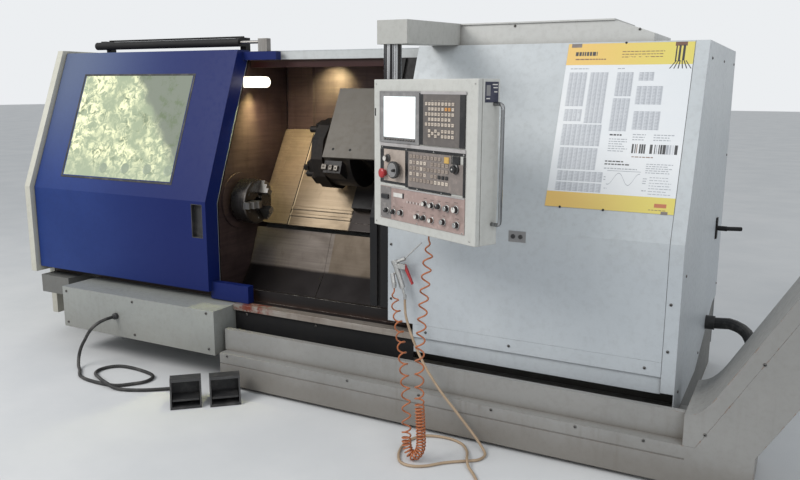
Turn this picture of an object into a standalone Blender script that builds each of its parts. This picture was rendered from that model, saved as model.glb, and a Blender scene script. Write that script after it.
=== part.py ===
"""Slant-bed CNC turning lathe with a sliding door, a tool turret, a swivelling control pendant
and a chip conveyor along its front.

Metres, +Z up. X runs along the spindle from the left end to the right end, Y runs from the
operator's side to the back, and z = 0 is the floor. Everything is modelled from the machine's
left front corner and then hung under one empty that puts the middle of the footprint at the origin.
"""
import math

import bmesh
import bpy
from mathutils import Matrix, Vector

# Fits
GAP = 0.0003
SHEET = 0.004
SLIDE_CLEARANCE = 0.005

# Cabinet
MACHINE_LENGTH = 3.85
MACHINE_DEPTH = 1.47
COVER_BOTTOM = 0.45
SPINDLE_Z = 0.919
FOLD_RISE = 0.026
FOLD_HEIGHT = SPINDLE_Z + FOLD_RISE
COVER_TOP = 1.75
TOP_SETBACK = 0.316
END_FRAME_WIDTH = 0.045
END_FRAME_PROUD = 0.03
CORNER_FLANGE = 0.056
PANEL_BOTTOM = 0.20
LATCH_Y = 1.16
LATCH_Z = 0.835
LATCH_REACH = 0.12
REAR_BOTTOM = 0.12
ROOF_FRONT = 0.43

# Base
BASE_TOP = 0.395
BASE_FRONT = 0.27
FOOT_HEIGHT = 0.05
FOOT_LENGTH = 0.16
FOOT_COUNT = 4
LEDGE_HEIGHT = 0.40
SIDE_BOX_LEFT = 0.43
SIDE_BOX_RIGHT = 1.57
SIDE_BOX_FRONT = -0.16
SIDE_BOX_BOTTOM = 0.16
GLAND_X = 0.86
GLAND_Z = 0.279
GLAND_RADIUS = 0.018
GLAND_LENGTH = 0.03

# Door
DOOR_LENGTH = 1.354
DOOR_THICKNESS = 0.095
WINDOW_LEFT = 0.225
WINDOW_LENGTH = 0.85
WINDOW_LOW = 0.095
WINDOW_HIGH = 0.72
WINDOW_PANE = 0.010
PULL_WIDTH = 0.077
PULL_HEIGHT = 0.185
PULL_DEPTH = 0.03
PULL_FROM_EDGE = 0.025
PULL_BOTTOM = 0.744
LOW_ARM_LENGTH = 0.246
LOW_ARM_HEIGHT = 0.094
LOW_ARM_FRONT = 0.03
ARM_THICKNESS = 0.045
TOP_ARM_LENGTH = 0.226
TOP_ARM_HEIGHT = 0.045
TOP_ARM_FRONT = 0.36
RAIL_FRONT = 0.10
RAIL_THICKNESS = 0.022
RAIL_TOP = 0.47
SILL_LIP_BOTTOM = 0.375
SILL_FRONT = -0.005
POST_WIDTH = 0.10
POST_DEPTH = 0.06
POST_BOTTOM = 0.51

# Door cylinder on the roof
BARREL_RADIUS = 0.023
BARREL_WALL = 0.004
BARREL_LENGTH = 1.12
BARREL_Y = 0.38
BARREL_RISE = 0.047
BARREL_Z = COVER_TOP + BARREL_RISE
ROD_RADIUS = 0.009
ROD_BLOCK = 0.05
ROD_OUT = 0.155

# Opening between the headstock wall and the right cover
WALL_X = 1.38
COVER_LEFT = 2.519

LAMP_LENGTH = 0.155
LAMP_HEIGHT = 0.06
LAMP_DEPTH = 0.045
LAMP_Y = 0.405
LAMP_Z = 1.58

# Spindle
SPINDLE_Y = 0.311
BEARING_BORE = 0.080
NOSE_RING_RADIUS = 0.158
HEAD_RADIUS = 0.158
HEAD_LEFT = 0.42
HEAD_BACK = 0.72
HEAD_BACK_HEIGHT = 0.62
NOSE_RING_DEPTH = 0.016
CHUCK_RADIUS = 0.125
CHUCK_LENGTH = 0.098
CHUCK_FACE_X = 1.518
BAR_BORE = 0.032
JAW_COUNT = 3
JAW_WIDTH = 0.038
JAW_PHASE = 25.0
JAW_SLOT_DEPTH = 0.016

# Slanted bed, measured along the slope (t) and square to it (h) from the lower front edge
SLOPE_Y = 0.48
SLOPE_Z = 0.78
SLOPE_ANGLE = 60.0
SLOPE_LENGTH = 0.60
SEAM_X = 1.90
BED_DROP = 0.09
BED_RIGHT = 3.74
BED_BEHIND = 0.19
BED_BACK = MACHINE_DEPTH - BED_BEHIND
BED_BACK_HEIGHT = 0.62
BED_CREST = (1.06, 1.22)
BED_FOOT = 0.47
LOWER_PANEL_FOOT = 0.285
LOWER_PANEL_FOLD = (0.39, 0.53)
REAR_WALL_Y = 0.80
REAR_WALL_STEP = 0.012
REAR_WALL_BOTTOM = 1.29
BEAD_WIDTH = 0.024
BEAD_HEIGHT = 0.005
BEADS = (0.036, 0.078)
GUIDE_HEIGHT = 0.03
GUIDE_WIDTH = 0.045
LEAF = 0.003
LEAF_STEP = LEAF + GAP
FIXED_LEAF_RIGHT = 1.72
LEAF_LENGTH = 0.42
RIGHT_FIXED_LENGTH = 0.54

# Carriage
CARRIAGE_LEFT = 2.02
CARRIAGE_LENGTH = 0.48
HOUSING_LEFT = 1.98
HOUSING_LENGTH = 0.47
HOUSING_TOP = 1.556
TURRET_DISTANCE = 0.318
TURRET_RADIUS = 0.188
TURRET_THICKNESS = 0.070
TURRET_NECK = 0.009
DRUM_RADIUS = 0.172
DRUM_LENGTH = 0.15
PLATE_OFF = 0.392
PLATE_LOW = 0.251
PLATE_HIGH = 0.652
HOLDER_INNER = 0.105
HOLDER_REACH = 0.006
BAR_LENGTH = 0.060
STATIONS = 12
FILLED_STATIONS = (1, 3, 6, 7, 9, 11)
TURRET_AXLE = 0.05

# Chip conveyor
CONVEYOR_LEFT = 1.61
CONVEYOR_FRONT = -0.17
CONVEYOR_BACK = 0.25
CONVEYOR_BOTTOM = 0.02
CONVEYOR_LIP = 0.187
LIP_HEIGHT = 0.052
LEDGE_DEPTH = 0.06
INCLINE_START = 3.962
INCLINE_ANGLE = 60.0
INCLINE_LENGTH = 1.02
INCLINE_THICKNESS = 0.184
CONVEYOR_WALL = 0.006
CHIN_X = 4.175
GUARD_TOP = 0.300
HOOD_LEFT = 3.915
HOOD_HEIGHT = 0.128
HOOD_OFFSET = 0.055
HEAD_LENGTH = 0.42
HEAD_BOTTOM = 0.86
MOTOR_RADIUS = 0.06
MOTOR_LENGTH = 0.16

# Roof duct and pendant arm
DUCT_LEFT = 2.585
DUCT_RIGHT = 3.62
DUCT_FRONT = 0.35
DUCT_DEPTH = 0.42
DUCT_HEIGHT = 0.098
DUCT_TOP = COVER_TOP + DUCT_HEIGHT
DUCT_DROP = 0.062
DUCT_TAPER = 0.18
ARM_WIDTH = 0.14
ARM_REACH = -0.275
ARM_SKEW = 0.03
ARM_DROOP = 0.026
ARM_LOW = 1.728
POST_X = 2.662
POST_Y = -0.225
POST_RADIUS = 0.038

# Control pendant, measured from its swivel axis
PENDANT_TURN = 25.3
PENDANT_LEFT = -0.038
PENDANT_FRONT = -0.069
PENDANT_WIDTH = 0.645
PENDANT_DEPTH = 0.108
PENDANT_HEIGHT = 0.615
PENDANT_TOP = 1.585
STOP_STEM = 0.013
KEY_RISE = 0.004

# Floor
PEDAL_WIDTH = 0.15
PEDAL_DEPTH = 0.15
PEDAL_HEIGHT = 0.135
PEDAL_WALL = 0.008
PEDAL_TURN = 42.0
PEDAL_PLACES = ((1.605, -0.425), (1.752, -0.305))

COLOURS = {
    "machine_white": ((0.56, 0.60, 0.63), 0.45, 0.0),
    "cream": ((0.60, 0.60, 0.52), 0.5, 0.0),
    "door_blue": ((0.03, 0.06, 0.30), 0.35, 0.0),
    "black": ((0.02, 0.02, 0.022), 0.5, 0.0),
    "casting": ((0.20, 0.21, 0.20), 0.6, 0.2),
    "stainless": ((0.45, 0.40, 0.33), 0.3, 0.9),
    "steel": ((0.35, 0.35, 0.36), 0.35, 0.9),
    "chrome": ((0.8, 0.8, 0.8), 0.1, 1.0),
    "glass": ((0.25, 0.30, 0.24), 0.1, 0.0),
    "screen": ((0.8, 0.9, 0.9), 0.2, 0.0),
    "red": ((0.5, 0.02, 0.03), 0.4, 0.0),
    "rubber": ((0.02, 0.02, 0.02), 0.7, 0.0),
    "orange_hose": ((0.55, 0.22, 0.10), 0.45, 0.0),
    "tan_hose": ((0.45, 0.34, 0.24), 0.5, 0.0),
    "paper": ((0.85, 0.84, 0.78), 0.6, 0.0),
    "lamp": ((1.0, 0.9, 0.7), 0.3, 0.0),
}


ALONG_X = (1, 0, 0)
ALONG_Y = (0, 1, 0)
TO_FRONT = (0, -1, 0)


# Helpers for building solids

def material(name):
    found = bpy.data.materials.get(name)
    if found:
        return found
    colour, roughness, metallic = COLOURS[name]
    made = bpy.data.materials.new(name)
    made.use_nodes = True
    shader = made.node_tree.nodes["Principled BSDF"]
    shader.inputs["Base Color"].default_value = (*colour, 1.0)
    shader.inputs["Roughness"].default_value = roughness
    shader.inputs["Metallic"].default_value = metallic
    made.diffuse_color = (*colour, 1.0)
    return made


def empty(name, place, parent=None, turn=0.0):
    """An empty at a world place, turned about Z by an angle in degrees."""
    made = bpy.data.objects.new(name, None)
    bpy.context.scene.collection.objects.link(made)
    made.matrix_world = Matrix.Translation(place) @ Matrix.Rotation(math.radians(turn), 4, "Z")
    if parent:
        hold(made, parent)
    return made


def hold(child, parent):
    """Parents a piece and keeps it where it is."""
    bpy.context.view_layer.update()
    world = child.matrix_world.copy()
    child.parent = parent
    child.matrix_parent_inverse = parent.matrix_world.inverted()
    child.matrix_world = world


def put(name, bm, colour, parent, smooth=False):
    """Turns a bmesh into a named object under its parent."""
    bmesh.ops.recalc_face_normals(bm, faces=bm.faces)
    mesh = bpy.data.meshes.new(name)
    bm.to_mesh(mesh)
    bm.free()
    mesh.materials.append(material(colour))
    if smooth:
        mesh.shade_smooth()
        mesh.set_sharp_from_angle(angle=math.radians(35))
    made = bpy.data.objects.new(name, mesh)
    bpy.context.scene.collection.objects.link(made)
    if parent:
        hold(made, parent)
    return made


def prism_bmesh(outline, axis, low, high):
    """Extrudes a flat outline along an axis; the outline holds the two other coordinates in order."""
    places = {
        "X": lambda a, b, depth: (depth, a, b),
        "Y": lambda a, b, depth: (a, depth, b),
        "Z": lambda a, b, depth: (a, b, depth),
    }[axis]
    bm = bmesh.new()
    ring = [bm.verts.new(places(a, b, low)) for a, b in outline]
    face = bm.faces.new(ring)
    grown = bmesh.ops.extrude_face_region(bm, geom=[face])
    moved = [part for part in grown["geom"] if isinstance(part, bmesh.types.BMVert)]
    step = Vector(places(0.0, 0.0, high)) - Vector(places(0.0, 0.0, low))
    bmesh.ops.translate(bm, verts=moved, vec=step)
    return bm


def prism(name, outline, axis, low, high, colour, parent=None):
    return put(name, prism_bmesh(outline, axis, low, high), colour, parent)


def box(name, low, high, colour, parent=None):
    outline = [(low[0], low[1]), (high[0], low[1]), (high[0], high[1]), (low[0], high[1])]
    return prism(name, outline, "Z", low[2], high[2], colour, parent)


def turned(name, profile, axis, centre, colour, parent=None, steps=32):
    """Turns a closed profile of (along, radius) points about an axis through the centre."""
    bm = bmesh.new()
    points = [bm.verts.new((radius, 0.0, along)) for along, radius in profile]
    rim = [bm.edges.new((points[i], points[(i + 1) % len(points)])) for i in range(len(points))]
    bmesh.ops.spin(bm, geom=points + rim, cent=(0, 0, 0), axis=(0, 0, 1), angle=math.tau,
                   steps=steps, use_merge=True)
    bmesh.ops.remove_doubles(bm, verts=bm.verts, dist=1e-6)
    bm.faces.ensure_lookup_table()
    turn = Vector((0, 0, 1)).rotation_difference(Vector(axis)).to_matrix().to_4x4()
    bmesh.ops.transform(bm, matrix=Matrix.Translation(centre) @ turn, verts=bm.verts)
    return put(name, bm, colour, parent, smooth=True)


def rod(name, start, end, radius, colour, parent=None, steps=20):
    """A solid round bar between two points."""
    start = Vector(start)
    way = Vector(end) - start
    bm = bmesh.new()
    bmesh.ops.create_cone(bm, cap_ends=True, segments=steps, radius1=radius, radius2=radius,
                          depth=way.length)
    turn = Vector((0, 0, 1)).rotation_difference(way.normalized()).to_matrix().to_4x4()
    bmesh.ops.transform(bm, matrix=Matrix.Translation(start + way / 2) @ turn, verts=bm.verts)
    return put(name, bm, colour, parent, smooth=True)


def bore_radius(shaft, steps):
    """Radius of a faceted bore whose flats clear a round shaft."""
    return (shaft + GAP) / math.cos(math.pi / steps)


def shape(target, tools, operation):
    """Cuts, joins or intersects a solid with others, which are then removed."""
    for tool in tools:
        change = target.modifiers.new(operation.lower(), "BOOLEAN")
        change.operation = operation
        change.solver = "EXACT"
        change.object = tool
    bpy.context.view_layer.update()
    graph = bpy.context.evaluated_depsgraph_get()
    result = bpy.data.meshes.new_from_object(target.evaluated_get(graph))
    target.modifiers.clear()
    target.data = result
    for tool in tools:
        bpy.data.objects.remove(tool)
    return target


def cut(target, *tools):
    return shape(target, tools, "DIFFERENCE")


def join(target, *tools):
    return shape(target, tools, "UNION")


def thick_line(points, thickness):
    """The closed outline of a bent sheet: a line of points and the same line moved to its left."""
    line = [Vector(point) for point in points]
    sides = []
    for start, end in zip(line, line[1:]):
        way = (end - start).normalized()
        sides.append(Vector((-way.y, way.x)))
    moved = []
    for index, point in enumerate(line):
        before = sides[max(index - 1, 0)]
        after = sides[min(index, len(sides) - 1)]
        middle = (before + after).normalized()
        moved.append(point + middle * (thickness / middle.dot(after)))
    return [tuple(point) for point in line] + [tuple(point) for point in reversed(moved)]


def arc(centre, radius, start, end, steps):
    """Points along an arc, angles in degrees."""
    points = []
    for step in range(steps + 1):
        angle = math.radians(start + (end - start) * step / steps)
        points.append((centre[0] + radius * math.cos(angle), centre[1] + radius * math.sin(angle)))
    return points


# The folded front: upright to the fold, then leaning back to the roof

SLANT = Vector((TOP_SETBACK, COVER_TOP - FOLD_HEIGHT)).normalized()
SLANT_IN = Vector((SLANT.y, -SLANT.x))


def slant_point(along, depth=0.0):
    """(y, z) of a point on the leaning part: distance up from the fold, depth behind the skin."""
    point = Vector((0.0, FOLD_HEIGHT)) + SLANT * along + SLANT_IN * depth
    return point.x, point.y


def front_line(depth, bottom, top):
    """Bottom, fold and top points of the front at a depth behind its outer skin."""
    along = depth * (1.0 - SLANT_IN.x) / SLANT.x
    fold = slant_point(along, depth)
    rise = (top - FOLD_HEIGHT - SLANT_IN.y * depth) / SLANT.y
    return [(depth, bottom), fold, slant_point(rise, depth)]


def front_sheet(depth, thickness, bottom, top):
    return front_line(depth, bottom, top) + front_line(depth + thickness, bottom, top)[::-1]


# Cabinet

def left_end_frame(root):
    front = front_line(-END_FRAME_PROUD, 0.42, COVER_TOP + 0.02)
    rest = [(MACHINE_DEPTH, COVER_TOP + 0.02), (MACHINE_DEPTH, REAR_BOTTOM), (0.10, REAR_BOTTOM),
            (0.10, 0.42)]
    frame = prism("left_end_frame", front + rest, "X", 0.0, END_FRAME_WIDTH, "cream")
    bar_hole = rod("bar_hole", (-0.1, SPINDLE_Y, SPINDLE_Z), (0.1, SPINDLE_Y, SPINDLE_Z), BAR_BORE + 0.02,
                   "cream", None, 40)
    cut(frame, bar_hole)
    hold(frame, root)


def right_end_panel(root):
    """Side sheet with a front flange that folds round the corner; its lower rear corner is raked."""
    right = MACHINE_LENGTH
    front = front_line(0.0, PANEL_BOTTOM, COVER_TOP)
    rest = [(MACHINE_DEPTH, COVER_TOP), (MACHINE_DEPTH, 0.40), (MACHINE_DEPTH - 0.17, 0.40), (0.69, PANEL_BOTTOM)]
    panel = prism("right_end_panel", front + rest, "X", right - SHEET, right, "machine_white")
    flange = prism("flange", front_sheet(0.0, SHEET, PANEL_BOTTOM + 0.12, COVER_TOP), "X",
                   right - CORNER_FLANGE, right, "machine_white")
    join(panel, flange)
    hold(panel, root)


def right_front_cover(root):
    """Fixed cover right of the door, folded back over the top."""
    line = front_line(0.0, COVER_BOTTOM, COVER_TOP) + [(ROOF_FRONT - 0.0005, COVER_TOP)]
    cover = prism("right_front_cover", thick_line(line[::-1], SHEET), "X", COVER_LEFT,
                  MACHINE_LENGTH - CORNER_FLANGE - 0.0015, "machine_white")
    notch = box("notch", (COVER_LEFT - 0.01, BARREL_Y - 0.024, COVER_TOP - 0.01),
                (COVER_LEFT + 0.063, ROOF_FRONT + 0.01, COVER_TOP + 0.01), "machine_white")
    cut(cover, notch)
    hold(cover, root)


def rear_cover(root):
    """Roof and back in one folded sheet between the two ends."""
    back = MACHINE_DEPTH - 0.002
    line = [(ROOF_FRONT, COVER_TOP), (back, COVER_TOP), (back, REAR_BOTTOM)]
    prism("rear_cover", thick_line(line[::-1], SHEET), "X", END_FRAME_WIDTH + GAP,
          MACHINE_LENGTH - SHEET - GAP, "machine_white", root)


def headstock_cover(root):
    """Fixed front of the headstock bay, hidden behind the open door."""
    depth = DOOR_THICKNESS + 0.027
    prism("headstock_cover", front_sheet(depth, SHEET, RAIL_TOP + 0.012, COVER_TOP - SHEET - 0.001),
          "X", END_FRAME_WIDTH + GAP, WALL_X - GAP, "machine_white", root)


def header_beam(root):
    low = COVER_TOP - SHEET - 0.085
    top = COVER_TOP - SHEET - GAP
    outline = [(ROOF_FRONT, low + 0.04), (ROOF_FRONT, top), (ROOF_FRONT + 0.07, top),
               (ROOF_FRONT + 0.07, low), (ROOF_FRONT + 0.02, low), (ROOF_FRONT + 0.02, low + 0.04)]
    prism("header_beam", outline, "X", WALL_X + SHEET + 0.002, MACHINE_LENGTH - SHEET - GAP,
          "machine_white", root)


def base_casting(root):
    """Welded base: one profile with feet, extruded front to back, and a raised end block."""
    left = END_FRAME_WIDTH + 0.003
    right = MACHINE_LENGTH - SHEET - 0.004
    pitch = (right - left - FOOT_LENGTH) / (FOOT_COUNT - 1)
    outline = [(left, BASE_TOP), (left, 0.0)]
    for foot in range(FOOT_COUNT):
        start = left + foot * pitch
        if foot:
            outline += [(start, FOOT_HEIGHT), (start, 0.0)]
        outline += [(start + FOOT_LENGTH, 0.0)]
        if foot < FOOT_COUNT - 1:
            outline += [(start + FOOT_LENGTH, FOOT_HEIGHT)]
    outline += [(right, BASE_TOP)]
    base = prism("base_casting", outline, "Y", BASE_FRONT, MACHINE_DEPTH - 0.01 - SHEET, "casting")
    block = box("end_block", (left, 0.0, 0.286), (left + 0.24, BASE_FRONT + 0.02, BASE_TOP), "casting")
    join(base, block)
    hold(base, root)


def left_base_cover(root):
    """Low box in front of the base: front, ledge and right return in folded sheet, open at the back."""
    back = RAIL_FRONT + RAIL_THICKNESS + 0.01
    cover = box("left_base_cover", (SIDE_BOX_LEFT, SIDE_BOX_FRONT, SIDE_BOX_BOTTOM),
                (SIDE_BOX_RIGHT, back, LEDGE_HEIGHT), "machine_white")
    inside = box("inside", (SIDE_BOX_LEFT + SHEET, SIDE_BOX_FRONT + SHEET, SIDE_BOX_BOTTOM - 0.05),
                 (SIDE_BOX_RIGHT - SHEET, back + 0.05, LEDGE_HEIGHT - SHEET), "machine_white")
    cut(cover, inside)
    hold(cover, root)
    turned("cable_gland", [(0.0, 0.003), (0.0, CABLE_RADIUS + 0.001),
                           (0.4 * GLAND_LENGTH, GLAND_RADIUS * 0.8),
                           (0.45 * GLAND_LENGTH, GLAND_RADIUS), (GLAND_LENGTH, GLAND_RADIUS),
                           (GLAND_LENGTH, 0.003)],
           ALONG_Y, (GLAND_X, SIDE_BOX_FRONT - GAP - GLAND_LENGTH, GLAND_Z), "black", root, 16)


def sill_and_skirts(root):
    right = COVER_LEFT + 0.131
    top = LEDGE_HEIGHT + 0.006
    low = LEDGE_HEIGHT + GAP
    rail = box("door_sill", (END_FRAME_WIDTH + 0.01, RAIL_FRONT, low),
               (right, RAIL_FRONT + RAIL_THICKNESS, RAIL_TOP), "steel")
    step = [(SILL_FRONT, SILL_LIP_BOTTOM), (SILL_FRONT, top), (RAIL_FRONT + 0.005, top),
            (RAIL_FRONT + 0.005, low), (SILL_FRONT + SHEET, low), (SILL_FRONT + SHEET, SILL_LIP_BOTTOM)]
    plate = prism("plate", step, "X", SIDE_BOX_RIGHT + 0.003, right, "steel")
    join(rail, plate)
    hold(rail, root)
    box("sill_skirt", (SIDE_BOX_RIGHT + 0.003, SILL_FRONT + 0.02, 0.24),
        (right, SILL_FRONT + 0.02 + SHEET, low - GAP), "black", root)
    line = [(0.012, 0.31), (0.012, 0.387), (0.0, 0.387), (0.0, COVER_BOTTOM - GAP)]
    prism("front_skirt", thick_line(line, -SHEET), "X", right + 0.003,
          MACHINE_LENGTH - CORNER_FLANGE - 0.0015, "machine_white", root)


def door_post(root):
    """Upright at the closing side, folded like the front, with a rubber edge groove."""
    post = prism("door_post", front_sheet(SHEET - 0.001, POST_DEPTH, POST_BOTTOM, COVER_TOP - 0.055), "X",
                 COVER_LEFT - GAP - POST_WIDTH, COVER_LEFT - GAP, "black")
    groove = prism("groove", front_sheet(-0.02, 0.036, 0.3, COVER_TOP + 0.1), "X",
                   COVER_LEFT - 0.62 * POST_WIDTH, COVER_LEFT - 0.42 * POST_WIDTH, "black")
    cut(post, groove)
    hold(post, root)


def end_panel_lever(root):
    """Latch on the right end panel: a plate with a hub and a lever that turns a quarter turn."""
    side = MACHINE_LENGTH + GAP
    pivot = Vector((side, LATCH_Y, LATCH_Z))
    body = empty("side_latch_axis", pivot, root)
    plate = box("side_latch", (side, pivot.y - 0.022, pivot.z - 0.055), (side + 0.008, pivot.y + 0.022,
                                                                         pivot.z + 0.055),
                "black")
    hub = rod("hub", pivot, pivot + Vector((0.055, 0, 0)), 0.013, "black", None, 16)
    arm = rod("arm", pivot + Vector((0.045, 0, 0)), pivot + Vector((LATCH_REACH, 0.05, -0.004)), 0.011,
              "black", None, 12)
    join(plate, hub, arm)
    hold(plate, body)


def work_lamp(root):
    """Round-ended lamp tube on the headstock wall."""
    x = WALL_X + SHEET + GAP
    outline = arc((x + LAMP_LENGTH - LAMP_HEIGHT / 2, LAMP_Z), LAMP_HEIGHT / 2, -90, 90, 10)
    outline += [(x, LAMP_Z + LAMP_HEIGHT / 2), (x, LAMP_Z - LAMP_HEIGHT / 2)]
    prism("work_lamp", outline, "Y", LAMP_Y - LAMP_DEPTH / 2, LAMP_Y + LAMP_DEPTH / 2, "lamp", root)


def chart(root):
    """Thin reference sheet on the leaning cover."""
    right = MACHINE_LENGTH - CORNER_FLANGE - 0.002
    skin = [slant_point(0.119, -GAP), slant_point(0.858, -GAP), slant_point(0.858, -GAP - 0.002),
            slant_point(0.119, -GAP - 0.002)]
    prism("reference_chart", skin, "X", right - 0.53, right, "paper", root)


# Door

def door(root):
    body = empty("door_body", (END_FRAME_WIDTH + SLIDE_CLEARANCE, 0.0, COVER_BOTTOM), root)
    left = END_FRAME_WIDTH + SLIDE_CLEARANCE
    right = left + DOOR_LENGTH
    top = COVER_TOP + SLIDE_CLEARANCE
    panel = prism("door_panel", front_sheet(0.0, DOOR_THICKNESS, COVER_BOTTOM, top), "X", left, right,
                  "door_blue")
    hollow = prism("hollow", front_sheet(SHEET, DOOR_THICKNESS, COVER_BOTTOM + SHEET, top - SHEET), "X",
                   left + SHEET, right - SHEET, "door_blue")
    window = [slant_point(WINDOW_LOW, -0.01), slant_point(WINDOW_HIGH, -0.01),
              slant_point(WINDOW_HIGH, 0.05), slant_point(WINDOW_LOW, 0.05)]
    opening = prism("opening", window, "X", left + WINDOW_LEFT, left + WINDOW_LEFT + WINDOW_LENGTH,
                    "door_blue")
    pull_right = right - PULL_FROM_EDGE
    pull_left = pull_right - PULL_WIDTH
    recess = box("recess", (pull_left, -0.05, PULL_BOTTOM), (pull_right, 0.05, PULL_BOTTOM + PULL_HEIGHT),
                 "door_blue")
    cut(panel, hollow, opening, recess)
    low_arm = box("low_arm", (right - 0.01, LOW_ARM_FRONT, LEDGE_HEIGHT + 0.006 + GAP),
                  (right + LOW_ARM_LENGTH, LOW_ARM_FRONT + ARM_THICKNESS,
                   LEDGE_HEIGHT + 0.006 + LOW_ARM_HEIGHT), "door_blue")
    top_arm = box("top_arm", (right - 0.01, TOP_ARM_FRONT, COVER_TOP - SHEET - 0.001 - TOP_ARM_HEIGHT),
                  (right + TOP_ARM_LENGTH, TOP_ARM_FRONT + ARM_THICKNESS, COVER_TOP - SHEET - 0.001),
                  "door_blue")
    join(panel, low_arm, top_arm)
    hold(panel, body)
    door_window(body, left + WINDOW_LEFT)
    cup = box("door_pull", (pull_left + GAP, 0.0, PULL_BOTTOM + GAP),
              (pull_right - GAP, PULL_DEPTH, PULL_BOTTOM + PULL_HEIGHT - GAP), "black")
    room = box("room", (pull_left + 0.004, -0.02, PULL_BOTTOM + 0.004),
               (pull_right - 0.004, PULL_DEPTH - 0.004, PULL_BOTTOM + PULL_HEIGHT - 0.004), "black")
    cut(cup, room)
    hold(cup, body)
    door_cylinder(root, body, right)


def door_window(body, left):
    """Pane with a seal bead: the pane stands in the opening, its bead laps the sheet behind."""
    low = WINDOW_LOW + GAP
    high = WINDOW_HIGH - GAP
    front = [slant_point(low, 0.0), slant_point(high, 0.0), slant_point(high, WINDOW_PANE),
             slant_point(low, WINDOW_PANE)]
    pane = prism("door_window", front, "X", left + GAP, left + WINDOW_LENGTH - GAP, "glass")
    lap = [slant_point(low - 0.012, SHEET + GAP), slant_point(high + 0.012, SHEET + GAP),
           slant_point(high + 0.012, WINDOW_PANE), slant_point(low - 0.012, WINDOW_PANE)]
    bead = prism("bead", lap, "X", left - 0.012, left + WINDOW_LENGTH + 0.012, "glass")
    join(pane, bead)
    hold(pane, body)


def door_cylinder(root, body, door_right):
    """Barrel clamped on the roof; its rod ends in a block on the door's upper arm."""
    end = door_right - 0.03
    start = end - BARREL_LENGTH
    inner = BARREL_RADIUS - BARREL_WALL
    profile = [(0.0, 0.0), (0.0, BARREL_RADIUS), (BARREL_LENGTH, BARREL_RADIUS),
               (BARREL_LENGTH, ROD_RADIUS + GAP), (BARREL_LENGTH - 0.02, ROD_RADIUS + GAP),
               (BARREL_LENGTH - 0.02, inner), (0.02, inner), (0.02, 0.0)]
    barrel = turned("door_cylinder", profile, ALONG_X, (start, BARREL_Y, BARREL_Z), "black", None, 24)
    base = COVER_TOP + GAP
    feet = []
    for x in (start + 0.01, end - 0.05):
        feet.append(box("foot", (x, BARREL_Y + BARREL_RADIUS - 0.004, BARREL_Z - 0.02),
                        (x + 0.04, ROOF_FRONT + 0.05, BARREL_Z + 0.03), "black"))
        feet.append(box("pad", (x, ROOF_FRONT + 0.01, base), (x + 0.04, ROOF_FRONT + 0.05, BARREL_Z),
                        "black"))
    line = rod("air_line", (start + 0.03, ROOF_FRONT + 0.02, BARREL_Z + 0.034),
               (end - 0.03, ROOF_FRONT + 0.02, BARREL_Z + 0.034), 0.005, "black", None, 8)
    join(barrel, *feet, line)
    hold(barrel, root)
    tip = door_right + ROD_OUT
    shaft = rod("cylinder_rod", (start + 0.05, BARREL_Y, BARREL_Z), (tip, BARREL_Y, BARREL_Z), ROD_RADIUS,
                "steel", None, 16)
    piston = rod("piston", (start + 0.03, BARREL_Y, BARREL_Z), (start + 0.055, BARREL_Y, BARREL_Z),
                 inner - GAP, "steel")
    block = box("block", (tip - ROD_BLOCK, BARREL_Y - 0.018, COVER_TOP - SHEET - 0.001 + GAP),
                (tip + 0.01, BARREL_Y + 0.018, BARREL_Z + 0.018), "steel")
    join(shaft, piston, block)
    hold(shaft, body)


# Headstock and spindle

def headstock(root):
    outline = [(SPINDLE_Y - HEAD_RADIUS, BASE_TOP + GAP), (HEAD_BACK, BASE_TOP + GAP),
               (HEAD_BACK - 0.02, HEAD_BACK_HEIGHT), (SPINDLE_Y + HEAD_RADIUS + 0.091, SPINDLE_Z - 0.059)]
    outline += arc((SPINDLE_Y, SPINDLE_Z), HEAD_RADIUS, 20, 180, 12)
    casting = prism("headstock_casting", outline, "X", HEAD_LEFT, WALL_X - GAP, "casting")
    hole = rod("hole", (HEAD_LEFT - 0.1, SPINDLE_Y, SPINDLE_Z), (WALL_X + 0.1, SPINDLE_Y, SPINDLE_Z),
               bore_radius(BEARING_BORE, 64), "casting", None, 64)
    cut(casting, hole)
    hold(casting, root)
    front = front_line(DOOR_THICKNESS + 0.032 + SHEET, RAIL_TOP + 0.012, COVER_TOP - SHEET - GAP)
    wall_outline = front + [(REAR_WALL_Y - 0.005, COVER_TOP - SHEET - GAP),
                            (REAR_WALL_Y - 0.005, BASE_TOP + GAP),
                            (0.135, BASE_TOP + GAP)]
    wall = prism("headstock_wall", wall_outline, "X", WALL_X, WALL_X + SHEET, "stainless")
    ring = rod("ring", (WALL_X, SPINDLE_Y, SPINDLE_Z),
               (WALL_X + NOSE_RING_DEPTH, SPINDLE_Y, SPINDLE_Z), NOSE_RING_RADIUS, "stainless", None, 40)
    join(wall, ring)
    clear = rod("clear", (WALL_X - 0.05, SPINDLE_Y, SPINDLE_Z), (WALL_X + 0.1, SPINDLE_Y, SPINDLE_Z), 0.095,
                "stainless", None, 40)
    cut(wall, clear)
    hold(wall, root)


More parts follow.
